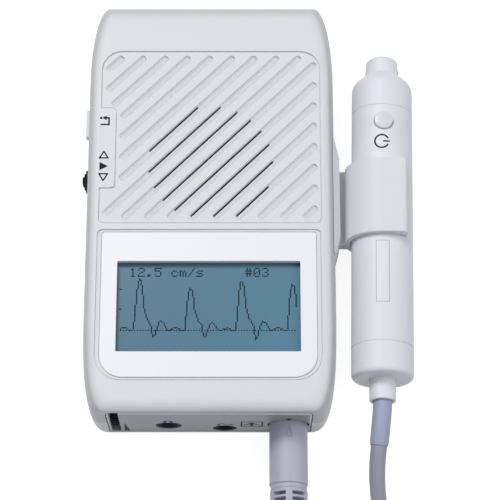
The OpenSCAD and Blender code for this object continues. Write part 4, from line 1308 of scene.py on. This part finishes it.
class DOPPLER_OT_rear_case(bpy.types.Operator):
    """Add the rear case with its battery bay, and the battery cover"""

    bl_idname = "doppler.rear_case"
    bl_label = "Rear case and battery cover"

    def execute(self, context):
        look = context.scene.doppler_housing
        case = loft("rear_shell", rear_rows())
        inner = rear_rows(WALL, FLOOR_T, 8)[:-1] + [(SEAM_Z + 2, [WALL] * 3)]
        combine(case, loft("hollow", inner))
        lip = prism("lip", outline(1.05, 1.05, 1.05), SEAM_Z - 0.3, SEAM_Z + 1.2)
        combine(lip, prism("hole", outline(WALL, WALL, WALL), SEAM_Z - 2, SEAM_Z + 2))
        combine(case, lip, "UNION")
        x0, x1, y0, y1 = BAY
        bay = block("bay", (x0 - 1.2, y0 - 1.2, FLOOR_T - 0.3), (x1 + 1.2, y1 + 1.2, 10.4))
        combine(bay, block("ends", (x0, y0 - 1.2, FLOOR_T - 0.3), (x1, y1 + 1.2, 16.6)), "UNION")
        combine(bay, block("hole", (x0, y0, 0), (x1, y1, 20)))
        combine(case, bay, "UNION")
        combine(case, block("opening", (x0, y0, -1), (x1, y1, FLOOR_T + 1)))
        recess = cover_section(0.2)
        recess[0], recess[1] = (-COVER_HALF - 0.2, -1), (COVER_HALF + 0.2, -1)
        combine(case, prism("recess", recess, COVER_LOW - 0.2, TOP_Y + 1, "Y"))
        wide = PANEL_W / 2 + 0.1
        panel = rounded(-wide, wide, PANEL_LOW - 0.1, PANEL_HIGH, 0.3)
        combine(case, prism("panel", panel, BOTTOM_Y - 1, PANEL_Y + PANEL_T, "Y"))
        combine(case, block("pocket", (WHEEL_SLOT[0], -66.7, 1.6), (WHEEL_SLOT[1], -49.9, 4)))
        combine(case, block("seat", *SEAT_CUT))
        combine(case, joined("heads", [rod("head", x, y, 2.5, -1, 1.9, "Z") for x, y in SCREW_SPOTS]))
        soften(case, look.edge / MM)
        dress(case, shell_material(context), "housing", "housing_shell", "rear_case")

        cover = prism("battery_door", cover_section(0), COVER_LOW, TOP_Y + 1, "Y")
        combine(cover, loft("limit", rear_rows()), "INTERSECT")
        grips = []
        for i in range(7):
            half, y = 9 - abs(i - 3) * 0.8, TOP_Y - 22 + i * 2
            grips.append(prism("grip", rounded(-half, half, y, y + 1, 0.45), -1, 0.5))
        combine(cover, joined("grips", grips))
        arrow = [(-3, TOP_Y - 27), (3, TOP_Y - 27), (0, TOP_Y - 24)]
        combine(cover, prism("arrow", arrow, -1, 0.3))
        soften(cover, look.edge / MM)
        dress(cover, shell_material(context), "battery_cover", "housing_shell", "battery_cover")
        return {"FINISHED"}


class DOPPLER_OT_end_panel(bpy.types.Operator):
    """Add the end panel with the openings for the wheel, the jacks and the plug"""

    bl_idname = "doppler.end_panel"
    bl_label = "End panel"

    def execute(self, context):
        look = context.scene.doppler_housing
        shape = rounded(-PANEL_W / 2, PANEL_W / 2, PANEL_LOW, PANEL_HIGH, 0.7, 2.0)
        panel = prism("end_plate", shape, PANEL_Y, PANEL_Y + PANEL_T, "Y")
        for vertex in panel.data.vertices:
            if vertex.co.y < (PANEL_Y + 1) * MM:
                vertex.co.y = panel_face(vertex.co.z / MM) * MM
        soften(panel, 0.5, 3)
        outside, inside = PANEL_Y - 7.3, PANEL_Y + 7.7
        combine(panel, block("slot", (WHEEL_SLOT[0], outside, 2.0), (WHEEL_SLOT[1], inside, 30)))
        for (x, z), r in ((HEADPHONE_JACK, 4.1), (OUTPUT_JACK, 3.8), ((SOCKET_X, SOCKET_Z), 6.45)):
            combine(panel, rod("hole", x, z, r, outside, inside))
        soften(panel, 0.1, 2)
        size = look.grain / MM
        # The panel's darker colour is painted shade
        face_abs = eroded_abs("eroded_abs_panel", look.panel[:], size, 0.5)
        dress(panel, face_abs, "housing", "end_panel", "end_panel")
        # Its rounded edges, round the holes too, get a pale material as a painted highlight
        panel.data.materials.append(eroded_abs("eroded_abs_worn_edge", linear("#F0F1F6"), size, 0.5))
        for face in panel.data.polygons:
            if -0.97 < face.normal.y < -0.1:
                face.material_index = 1
        return {"FINISHED"}


# The readout's dots
COLUMNS, ROWS, BASELINE = 128, 64, 48
BEAT_LENGTH, BEAT_START = 36.5, 9.5

# Dots of the letters and figures on the display, row by row from the top
GLYPHS = {
    "0": "01110 10001 10011 10101 11001 10001 01110",
    "1": "00100 01100 00100 00100 00100 00100 01110",
    "2": "01110 10001 00001 00110 01000 10000 11111",
    "3": "01110 10001 00001 00110 00001 10001 01110",
    "5": "11111 10000 11110 00001 00001 10001 01110",
    ".": "00000 00000 00000 00000 00000 01100 01100",
    "c": "00000 00000 01110 10001 10000 10001 01110",
    "m": "00000 00000 11010 10101 10101 10101 10101",
    "/": "00001 00010 00010 00100 01000 01000 10000",
    "s": "00000 00000 01111 10000 01110 00001 11110",
    "#": "01010 01010 11111 01010 11111 01010 01010",
    " ": "00000 00000 00000 00000 00000 00000 00000",
}


def readout_dots():
    """Columns and rows, counted from the top left, of all dark dots."""
    dots = set()

    def write(text, column, row):
        for index, letter in enumerate(text):
            for down, line in enumerate(GLYPHS[letter].split()):
                for right, mark in enumerate(line):
                    if mark == "1":
                        dots.add((column + index * 6 + right, row + down))

    write("12.5 cm/s", 7, 1)
    write("#03", 90, 1)

    # One beat of the flow wave as columns from its start and rows over the base line
    beat = [(0, 0), (1.5, 19), (2.2, 30), (3.5, 38), (4.2, 40), (5.2, 38), (6.3, 30), (7, 20), (8.2, 14.5),
            (9.5, 10), (11, 7), (12.4, 5), (12.8, 0), (13.8, -3.5), (14.6, -5.5), (15.6, -4), (16.5, 0),
            (18, 5), (19.5, 7), (21.5, 6.5), (23, 3), (24.5, 0.5), (26.5, 0), (28.5, 1.5), (31, 2), (33, 1),
            (35, 0), (37.1, 0)]
    peaks = (1.0, 0.98, 0.82, 0.94, 0.88)

    def flow(at):
        """Rows over the base line at a column of the beat."""
        for (a, low), (b, high) in zip(beat, beat[1:]):
            if a <= at <= b:
                return low + (high - low) * (at - a) / (b - a)
        return 0.0

    heights = []
    for column in range(1, COLUMNS - 1):
        along = (column - BEAT_START) % BEAT_LENGTH
        number = int((column - BEAT_START) // BEAT_LENGTH)
        height = flow(along) * peaks[number + 1]
        # The later beats dip deeper
        if height < 0 and number > 0:
            height *= 1.35
        heights.append(BASELINE - round(height))
    for index, row in enumerate(heights):
        column = index + 1
        before = heights[index - 1] if index else row
        for step in range(min(row, before + (1 if before < row else 0)), max(row, before - 1) + 1):
            dots.add((column, step))
        dots.add((column, row))
    for column in range(1, COLUMNS - 1, 2):
        dots.add((column, BASELINE))
    for row in (17, 32):
        dots.update({(0, row), (1, row)})
    return dots


class DOPPLER_OT_display(bpy.types.Operator):
    """Add the label plate, the display with its dots, and the parts behind it"""

    bl_idname = "doppler.display"
    bl_label = "Display"

    def execute(self, context):
        look = context.scene.doppler_display
        plate = prism("window_plate", rounded(*LABEL, 6.95, 0.8), BODY_T - DISPLAY_DEPTH, BODY_T - 0.05)
        combine(plate, prism("hole", rounded(*WINDOW, 0.3), BODY_T - 1, BODY_T + 1))
        soften(plate, 0.05)
        dress(plate, label_film("velvet_film", look.label[:]), "housing", "display_label", "display_label")

        low, high = box_mm("lcd_glass")
        glass = prism("display_cell", rounded(low.x, high.x, low.y, high.y, 0.3), low.z, high.z)
        soften(glass, 0.1)
        pitch = look.pitch / MM
        crystal = display_cell("liquid_crystal_cell", look.glass[:], pitch)
        dress(glass, crystal, "housing", "lcd_glass", "lcd_glass")

        middle_x, middle_y = (WINDOW[0] + WINDOW[1]) / 2, (WINDOW[2] + WINDOW[3]) / 2
        right, down = (COLUMNS - 1) / 2, (ROWS - 1) / 2
        points = [
            (middle_x + (column - right) * pitch, middle_y - (row - down) * pitch, high.z + 0.01)
            for column, row in sorted(readout_dots())
        ]
        ink = printing_ink("dark_crystal", look.dots[:])
        dots = point_cloud("display_dots", points)
        grown(dots, dot_tree(ink), {"Dot": look.pitch - look.gap}, ink)
        dress(dots, None, "housing", "lcd_glass")

        paint("lcd_frame", dark_nylon())
        paint("backlight", lit_acrylic("opal_acrylic", linear("#E4F0EC")))
        return {"FINISHED"}


def stroke(points, width, closed=False, fine=False):
    """Flat pieces that draw a line of a width through points; fine cuts them short for a curved surface."""
    pieces = []
    ends = list(zip(points, points[1:] + points[:1] if closed else points[1:]))
    for a, b in ends:
        a, b = Vector(a), Vector(b)
        along = (b - a).normalized() * width / 2
        across = Vector((-along.y, along.x))
        a, b = a - along * 0.7, b + along * 0.7
        count = max(1, round((b - a).length / 0.45)) if fine else 1
        for k in range(count):
            c, d = a.lerp(b, k / count), a.lerp(b, (k + 1) / count)
            pieces.append([c - across, d - across, d + across, c + across])
    return pieces


def printed(name, shapes, place, thick=0.02):
    """Thin pads of ink: each flat shape laid on a surface by place(u, v, height)."""
    points, faces = [], []
    for shape in shapes:
        base, count = len(points), len(shape)
        points += [place(p[0], p[1], 0.0) for p in shape] + [place(p[0], p[1], thick) for p in shape]
        faces.append(tuple(base + j for j in reversed(range(count))))
        faces.append(tuple(base + count + j for j in range(count)))
        faces += [
            (base + j, base + (j + 1) % count, base + (j + 1) % count + count, base + j + count)
            for j in range(count)
        ]
    return mesh_object(name, points, faces)


class DOPPLER_OT_signs(bpy.types.Operator):
    """Print the signs of the side controls and of the end panel"""

    bl_idname = "doppler.signs"
    bl_label = "Signs"

    def execute(self, context):
        ink = printing_ink("pad_ink", context.scene.doppler_housing.ink[:])
        left, right = -34.85, -32.15
        middle = (left + right) / 2
        shapes = stroke([(left + 0.2, 24.8), (right, 24.8), (right, 27.1), (middle + 0.1, 27.1)], 0.5)
        shapes.append([(middle + 0.55, 26.3), (middle + 0.55, 27.9), (middle - 0.75, 27.1)])
        shapes.append(arc((left + 0.2, 27.05), 0.42, 0, 330, 9))
        shapes += stroke([(left, 13.3), (right, 13.3), (middle, 15.5)], 0.44, True)
        shapes.append([(left + 0.05, 9.1), (right, 10.5), (left + 0.05, 11.9)])
        shapes += stroke([(left - 0.05, 7.9), (middle - 0.05, 5.6), (right - 0.05, 7.9)], 0.44, True)
        front = printed("control_signs", shapes, lambda u, v, h: (u, v, BODY_T + h))
        dress(front, ink, "housing", "dark_plastic")

        shapes = [[(-26.6, 2.2), (-24.75, 2.2), (-26.2, 12.8)]]
        # Headphones: a bow with two cups
        shapes += stroke(arc((HEADPHONE_JACK[0], 14.5), 1.2, 5, 175, 10), 0.42)
        shapes += [rounded(-14.2, -13.3, 13.3, 15.0, 0.15), rounded(-12.1, -11.2, 13.3, 15.0, 0.15)]
        # Lead with a plug at each end
        shapes += stroke([(2.6, 9.9), (3.0, 11.2), (3.8, 11.7), (4.7, 10.8), (5.6, 10.4), (7.0, 10.7)], 0.44)
        shapes += [arc((2.7, 9.9), 0.55, 0, 330, 9), rounded(6.1, 7.4, 10.3, 11.0, 0.1)]
        # Box with an arrow out of it
        shapes += stroke([(9.75, 7.9), (16.15, 7.9), (16.15, 14.2), (9.75, 14.2)], 0.46, True)
        shapes += stroke([(12.95, 8.8), (12.95, 12.0)], 1.0)
        shapes.append([(11.8, 11.5), (14.1, 11.5), (12.95, 13.6)])
        for start, end in ((20, 75), (105, 160)):
            shapes += stroke(arc((12.95, 8.6), 2.6, start, end, 6), 0.42)
        shapes.append([(23.1, 18.6), (25.3, 18.6), (24.2, 16.3)])
        panel = printed("panel_signs", shapes, lambda u, v, h: (u, panel_face(v) - h, v))
        dress(panel, ink, "housing", "dark_plastic")
        return {"FINISHED"}


class DOPPLER_OT_controls(bpy.types.Operator):
    """Add the mode button, the jog lever and the volume wheel"""

    bl_idname = "doppler.controls"
    bl_label = "Controls"

    def execute(self, context):
        look = context.scene.doppler_probe
        button = copied("mode_button", "mode_key")
        soften(button, 0.3, 3)
        key_abs = polished_abs("polished_abs_key", look.button[:], 0.4)
        dress(button, key_abs, "mode_button", "button_plastic", "mode_button")

        # The lever is a little shorter and less proud than its solid
        ribbed = filled_nylon("filled_nylon_control", linear("#1B1C2B"), 0.5)
        lever = copied("jog_lever", "jog_key")
        low, high = box_mm("jog_lever")
        middle, side = (low.y + high.y) / 2 * MM, -BODY_W / 2 * MM
        for vertex in lever.data.vertices:
            vertex.co.y = middle + (vertex.co.y - middle) * 0.89
            if vertex.co.x < side:
                vertex.co.x += 0.16 * (side - vertex.co.x)
        soften(lever, 0.18, 3)
        dress(lever, ribbed, "jog_lever", "control_plastic", "jog_lever")
        for node in ("jog_carrier", "jog_switch", "mode_switch"):
            paint(node, dark_nylon())

        low, high = box_mm("volume_wheel")
        centre = (low + high) / 2
        wheel = rod("volume_disc", centre.y, centre.z, 8.66, low.x, high.x, "X", 96)
        combine(wheel, rod("bore", centre.y, centre.z, 1.3, low.x - 1, high.x + 1, "X"))
        for side in (low.x - 1, high.x - 0.35):
            ring = rod("dish", centre.y, centre.z, 7.4, side, side + 1.35, "X", 72)
            combine(ring, rod("hub", centre.y, centre.z, 2.6, side - 1, side + 3, "X"))
            combine(wheel, ring)
        soften(wheel, 0.12)
        sizes = {"Centre": centre * MM, "Width": (high.x - low.x - 0.2) * MM}
        grown(wheel, rim_tree(ribbed), sizes, ribbed)
        dress(wheel, ribbed, "volume_wheel", "control_plastic", "volume_wheel")
        paint("volume_pot", dark_nylon())
        return {"FINISHED"}


def jack_piece(name, place, face_r, low, high):
    """A jack: ring in the panel's hole with a dished face, and its body behind from low to high."""
    x, z = place
    front, inner = panel_face(z) + 0.25, PANEL_Y + PANEL_T
    piece = turned(
        name, x, z,
        [(1.8, -54.1), (1.8, front + 1.2), (2.3, front + 0.6, 0.3), (face_r - 0.75, front, 0.2),
         (face_r, front, 0.12), (face_r, inner - 0.05), (2.55, inner - 0.05), (2.55, -54.1)],
    )
    back = block("body", (x - 4.5, inner + 0.1, low), (x + 4.5, -53.3, high))
    combine(back, rod("bore", x, z, 2.5, -80, -54.3))
    combine(piece, back, "UNION")
    combine(piece, rod("bore", x, z, 1.8, -80, -54.7))
    return soften(piece, 0.0)


class DOPPLER_OT_sockets(bpy.types.Operator):
    """Add the two jacks and the probe's socket"""

    bl_idname = "doppler.sockets"
    bl_label = "Sockets"

    def execute(self, context):
        dark = filled_nylon("filled_nylon_jack", linear("#22253B"))
        for jack, node in (
            (jack_piece("headphone_port", HEADPHONE_JACK, 4.0, 4.5, 13.5), "headphone_jack"),
            (jack_piece("output_port", OUTPUT_JACK, 3.7, 2.65, 8.6), "output_jack"),
        ):
            dress(jack, dark, "housing", "dark_plastic", node)
        socket = turned(
            "probe_port", SOCKET_X, SOCKET_Z,
            [(5.05, -65.6, 0.4), (7.0, -65.6, 0.2), (7.0, -53.3), (0, -53.3), (0, -55.3), (5.05, -55.3)],
        )
        soften(socket)
        dress(socket, dark, "housing", "dark_plastic", "probe_socket")
        paint("socket_core", cast_mass("contact_carrier", linear("#C9B58A"), 0.45, 0.8, 0.05))
        return {"FINISHED"}


class DOPPLER_OT_speaker(bpy.types.Operator):
    """Finish the loudspeaker and the cloth behind the slits"""

    bl_idname = "doppler.speaker"
    bl_label = "Loudspeaker"

    def execute(self, context):
        paint("grille_cloth", speaker_cloth("acoustic_cloth", linear("#17171B")))
        paint("speaker_frame", cast_mass("painted_steel", linear("#3A3B3E"), 0.4, 1.5))
        paint("speaker_cone", pressed_paper("paper_pulp", linear("#1F1E1D")))
        paint("speaker_magnet", cast_mass("sintered_ferrite", linear("#4A4A4C"), 0.45, 0.7))
        return {"FINISHED"}


class DOPPLER_OT_inside(bpy.types.Operator):
    """Finish the boards, the cells and their contacts"""

    bl_idname = "doppler.inside"
    bl_label = "Boards and cells"

    def execute(self, context):
        laminate = circuit_laminate("green_laminate", linear("#1F6B3A"))
        for node in ("main_board", "io_board", "probe_board"):
            paint(node, laminate)
        wire = plated_metal("nickel_plate", linear("#C9C6C0"), 0.28)
        paint("contact_plates", wire)
        # Every other cell, with its spring, is turned round
        rows = [((i - (CELL_COUNT - 1) / 2) * CELL_STEP, i % 2) for i in range(CELL_COUNT)]
        low, high = BAY[2] + SPRING_GAP, BAY[3] - SPRING_GAP
        centres = [(x, high - 0.3 if flip else low + 0.3, CELL_Z) for x, flip in rows]
        facing = [(pi / 2 if flip else -pi / 2, 0, 0) for x, flip in rows]
        springs = point_cloud("cell_springs", centres, facing)
        grown(springs, spring_tree(wire), {}, wire)
        soften(springs)
        dress(springs, wire, "housing", "spring_steel", "battery_springs")

        wrap = cell_wrap("shrink_film")
        cell = turned(
            "cell", 0, 0,
            [(0, 0), (6.6, 0, 0.3), (7.1, 0.5, 0.3), (7.1, 48.9, 0.5), (6.3, 49.2, 0.2), (2.75, 49.2),
             (2.7, 50.15, 0.3), (0, 50.15)],
            64,
        )
        points = [(x, low + (50.2 if flip else 2.2), CELL_Z) for x, flip in rows]
        facing = [(0, 0, pi if flip else 0) for x, flip in rows]
        cells = repeated("dry_cells", cell, points, facing, wrap)
        soften(cells)
        dress(cells, wrap, "housing", "cell_jacket", "battery_cells")
        return {"FINISHED"}


class DOPPLER_OT_fasteners(bpy.types.Operator):
    """Add the screws"""

    bl_idname = "doppler.fasteners"
    bl_label = "Fasteners"

    def execute(self, context):
        steel = plated_metal("zinc_plated_steel", linear("#B4B4B2"), 0.32)
        screw = rod("screw", 0, 0, 2.3, 0, 1.4, "Z", 48)
        combine(screw, rod("shank", 0, 0, 0.84, 1.0, 19.0, "Z", 24), "UNION")
        for turn in (0, pi / 2):
            bar = prism("bar", rounded(-1.3, 1.3, -0.3, 0.3, 0.1), -1, 0.7)
            bar.data.transform(Euler((0, 0, turn)).to_matrix().to_4x4())
            combine(screw, bar)
        soften(screw, 0.12)
        points = [(x, y, 0.5) for x, y in SCREW_SPOTS]
        facing = [(0, 0, a) for a in (0.2, 1.1, 0.7, 1.4)]
        screws = repeated("case_bolts", screw, points, facing, steel)
        soften(screws)
        dress(screws, steel, "housing", "screw_steel", "case_screws")
        paint("board_screws", steel)
        paint("holder_screws", steel)
        return {"FINISHED"}


class DOPPLER_OT_holder(bpy.types.Operator):
    """Add the clip that holds the probe"""

    bl_idname = "doppler.holder"
    bl_label = "Probe holder"

    def execute(self, context):
        inner, outer, tab, corner = 10.1, 11.85, 7.3, 1.2
        low, high = CLIP_Y - 12.5, CLIP_Y + 12.5
        edge = math.degrees(math.acos(tab / inner))
        lip = math.degrees(math.acos(tab / outer))
        section = [(0.0, outer), (tab - corner, outer)]
        section += arc((tab - corner, outer - corner), corner, 90, 0, 6)
        section += arc((0, 0), inner, edge, 360 - edge, 72)
        section += arc((0, 0), outer, 360 - lip, 90, 80)
        clip = prism("clip", [(PROBE_X + u, PROBE_Z + v) for u, v in section], low, high, "Y")
        neck = block("neck", (SEAT_X + 1.05, low, 9.5), (PROBE_X - inner - 0.2, high, 13.5))
        combine(clip, neck, "UNION")
        posed(clip)
        foot, face = SEAT_X + 0.4, SEAT_X + 2.1
        plan = [(SEAT_X, -17), (foot, -17), (face, -10.8), (face, 15.8), (foot, 22), (SEAT_X, 22)]
        side = [(SEAT_X - 1, 4), (foot, 4), (face, 6), (face, 21.4), (SEAT_X + 0.1, 24.4), (SEAT_X - 1, 24.4)]
        pad = prism("pad", plan, 4, 24.4)
        combine(pad, prism("limit", side, -30, 30, "Y"), "INTERSECT")
        combine(clip, pad, "UNION")
        clip.name = "probe_clip"
        soften(clip, 0.35, 3)
        dress(clip, shell_material(context), "housing", "housing_shell", "probe_holder")
        return {"FINISHED"}


# The probe's shoulder from the tip's neck to the full radius, in shares of its width and length
SHOULDER_LINE = [(0, 0), (0.06, 0.09), (0.27, 0.2), (0.45, 0.31), (0.63, 0.43), (0.78, 0.54), (0.88, 0.66),
                 (0.95, 0.79), (1, 1)]


def on_probe(u, v, h):
    """Places a print on the probe: u runs to +X round its top, v along Y."""
    a = u / PROBE_R
    r = PROBE_R + h
    return (PROBE_X + r * sin(a), v, PROBE_Z + r * cos(a))


class DOPPLER_OT_probe(bpy.types.Operator):
    """Add the pencil probe with its tip, button, signs and cable boot"""

    bl_idname = "doppler.probe"
    bl_label = "Probe"

    def execute(self, context):
        look = context.scene.doppler_probe
        shell = polished_abs("polished_abs_probe", look.shell[:], 0.5)
        r, joint = PROBE_R, PROBE_R - 0.25

        self.part(
            "sensor_nose", shell, "probe_tip",
            [(0, 52.6), (4.1, 52.6), (4.1, 46.2), (4.3, 41.2), (5.4, 41.2), (5.4, 48.9, 0.4),
             (5.25, 50.3, 0.6), (5.05, 51.9, 0.5), (4.95, 53.5, 1.7), (0, 53.5)],
        )
        slope = [(5.6 + u * (r - 5.6), 47.6 - v * 6.2) for u, v in SHOULDER_LINE]
        self.part(
            "front_collar", shell, "probe_front_cap",
            [(5.45, 47.6)] + slope + [(r, 33.95, 0.2), (joint, 33.7), (8.1, 33.7), (8.1, 31.9), (7.0, 31.9),
                                      (7.0, 39.7), (5.45, 42.2)],
        )
        self.part(
            "probe_tube", shell, "probe_body",
            [(8.15, -45.6), (joint, -45.6), (r, -45.35, 0.15), (r, 33.45, 0.15), (joint, 33.7), (8.15, 33.7)],
            hole=3.12,
        )
        self.part(
            "rear_collar", shell, "probe_rear_cap",
            [(4.15, -55.6, 0.2), (r, -55.6, 1.9), (r, -45.85, 0.15), (joint, -45.6), (8.1, -45.6),
             (8.1, -43.1), (7.0, -43.1), (7.0, -52.6), (4.15, -52.6)],
        )

        button = turned(
            "probe_key", 0, 0,
            [(0, 20.9), (3.7, 20.9, 0.15), (3.7, 21.55, 0.15), (3.0, 21.55), (3.0, 25.0, 0.45),
             (1.6, 25.18, 0.6), (0, 25.2)],
            72,
        )
        button.data.transform(Euler((pi / 2, 0, 0)).to_matrix().to_4x4())
        for vertex in button.data.vertices:
            vertex.co += Vector((PROBE_X, PROBE_KEY_Y, 0)) * MM
        soften(button)
        key_abs = polished_abs("polished_abs_button", look.button[:], 0.3)
        dress(posed(button), key_abs, "probe_button", "button_plastic", "probe_button")

        shapes = stroke(arc((-0.6, 20.8), 2.2, 32, 328, 30), 0.52)
        shapes += stroke([(0.0, 20.8), (1.8, 20.8)], 0.46, fine=True)
        signs = posed(printed("probe_signs", shapes, on_probe))
        left, right, low, high = -0.4 - 2.05, -0.4 + 2.05, -23 - 10.1, -23 + 10.1
        sides = [(left, low), (right, low), (right, high), (left, high)]
        border = posed(printed("probe_border", stroke(sides, 0.16, True, True), on_probe))
        dress(signs, printing_ink("pad_ink", context.scene.doppler_housing.ink[:]), "probe", "dark_plastic")
        dress(border, printing_ink("pale_ink", linear("#A9A9B8")), "probe", "dark_plastic")

        self.part(
            "cable_gland", shell, "cable_boot",
            [(3.1, -62.4, 0.2), (4.1, -62.4, 0.35), (4.1, -52.5), (5.6, -52.5), (5.6, -51.3), (3.1, -51.3)],
            segments=96,
        )

        route = smooth_path(probe_route()[:SHEATH_POINTS], 0.8)
        count = len(route)
        sleeve = swept("cord_sleeve", route, lambda i: 2.95 - 0.25 * max(0, (i - count + 4) / 4) ** 2, 32)
        soften(sleeve)
        dress(sleeve, soft_jacket("cast_tpe", look.sheath[:], 0.5), "probe", "sheath_rubber", "strain_sheath")

        paint("probe_switch", dark_nylon())
        paint("probe_crystals", cast_mass("fired_ceramic", linear("#D8CFB4"), 0.4, 0.4))
        paint("probe_backing", cast_mass("cast_epoxy", linear("#5A4436"), 0.5, 0.6))
        return {"FINISHED"}

    def part(self, name, shell, node, corners, segments=128, hole=0.0):
        """One of the probe's turned shells; a hole is the radius of the button's opening."""
        piece = turned(name, PROBE_X, PROBE_Z, corners, segments)
        if hole:
            combine(piece, rod("hole", PROBE_X, PROBE_KEY_Y, hole, PROBE_Z, PROBE_Z + 20, "Z", 72))
        soften(piece, 0.06 if hole else 0.0)
        dress(posed(piece), shell, "probe", "probe_shell", node)


class DOPPLER_OT_plug(bpy.types.Operator):
    """Add the probe's plug with its bend relief"""

    bl_idname = "doppler.plug"
    bl_label = "Plug"

    def execute(self, context):
        look = context.scene.doppler_probe
        grey = eroded_abs("eroded_abs_plug", look.plug[:], 0.35, 0.45)
        x, z, r = SOCKET_X, SOCKET_Z, PLUG_R
        end = BOTTOM_Y - 19
        shell = turned(
            "plug_sleeve", x, z,
            [(4.8, -65.9), (5.6, -65.9, 0.1), (r, -66.25, 0.2), (r, end, 0.35), (4.5, end), (4.5, end + 14),
             (4.8, end + 14)],
            128,
        )
        top = z + r
        mark = prism("mark", [(x - 1.25, -74.0), (x + 1.25, -74.0), (x, -70.2)], top - 0.3, top + 1)
        combine(mark, prism("core", [(x - 0.66, -73.6), (x + 0.66, -73.6), (x, -71.6)], top - 1, top + 2))
        combine(shell, mark)
        soften(shell, 0.03, 1)
        dress(shell, grey, "plug", "plug_shell", "plug_shell")

        ring = turned(
            "plug_ring", x, z,
            [(4.4, end - 1.4), (5.55, end - 1.4), (5.6, end - 0.05), (4.4, end - 0.05)],
            96,
        )
        soften(ring)
        dress(ring, grey, "plug", "plug_shell", "plug_collar")

        relief = copied("plug_nut", "bend_relief")
        soften(relief, 0.08, 2)
        dress(relief, grey, "plug", "plug_shell", "plug_nut")
        paint("plug_insert", cast_mass("contact_carrier", linear("#C9B58A"), 0.45, 0.8, 0.05))
        paint("plug_contacts", plated_metal("gold_plate", linear("#D4AF5A"), 0.25, 0.3))
        return {"FINISHED"}


OPERATORS = (
    DOPPLER_OT_studio,
    DOPPLER_OT_cord,
    DOPPLER_OT_front_case,
    DOPPLER_OT_rear_case,
    DOPPLER_OT_end_panel,
    DOPPLER_OT_display,
    DOPPLER_OT_signs,
    DOPPLER_OT_controls,
    DOPPLER_OT_sockets,
    DOPPLER_OT_speaker,
    DOPPLER_OT_inside,
    DOPPLER_OT_fasteners,
    DOPPLER_OT_holder,
    DOPPLER_OT_probe,
    DOPPLER_OT_plug,
)
SETTINGS = {
    "doppler_housing": HousingSettings,
    "doppler_display": DisplaySettings,
    "doppler_probe": ProbeSettings,
    "doppler_cord": CordSettings,
    "doppler_studio": StudioSettings,
}


class DOPPLER_PT_panel(bpy.types.Panel):
    """Lists the pieces and their settings"""

    bl_label = "Pocket doppler"
    bl_idname = "DOPPLER_PT_panel"
    bl_space_type = "VIEW_3D"
    bl_region_type = "UI"
    bl_category = "Doppler"

    def draw(self, context):
        for name, group in SETTINGS.items():
            box = self.layout.box()
            for key in group.__annotations__:
                box.prop(getattr(context.scene, name), key)
        for operator in OPERATORS:
            self.layout.operator(operator.bl_idname)


def register():
    for name, group in SETTINGS.items():
        bpy.utils.register_class(group)
        setattr(bpy.types.Scene, name, bpy.props.PointerProperty(type=group))
    for operator in OPERATORS:
        bpy.utils.register_class(operator)
    bpy.utils.register_class(DOPPLER_PT_panel)


def unregister():
    bpy.utils.unregister_class(DOPPLER_PT_panel)
    for operator in reversed(OPERATORS):
        bpy.utils.unregister_class(operator)
    for name, group in SETTINGS.items():
        delattr(bpy.types.Scene, name)
        bpy.utils.unregister_class(group)


def main():
    register()
    for operator in OPERATORS:
        group, name = operator.bl_idname.split(".")
        getattr(getattr(bpy.ops, group), name)()


if __name__ == "__main__":
    main()
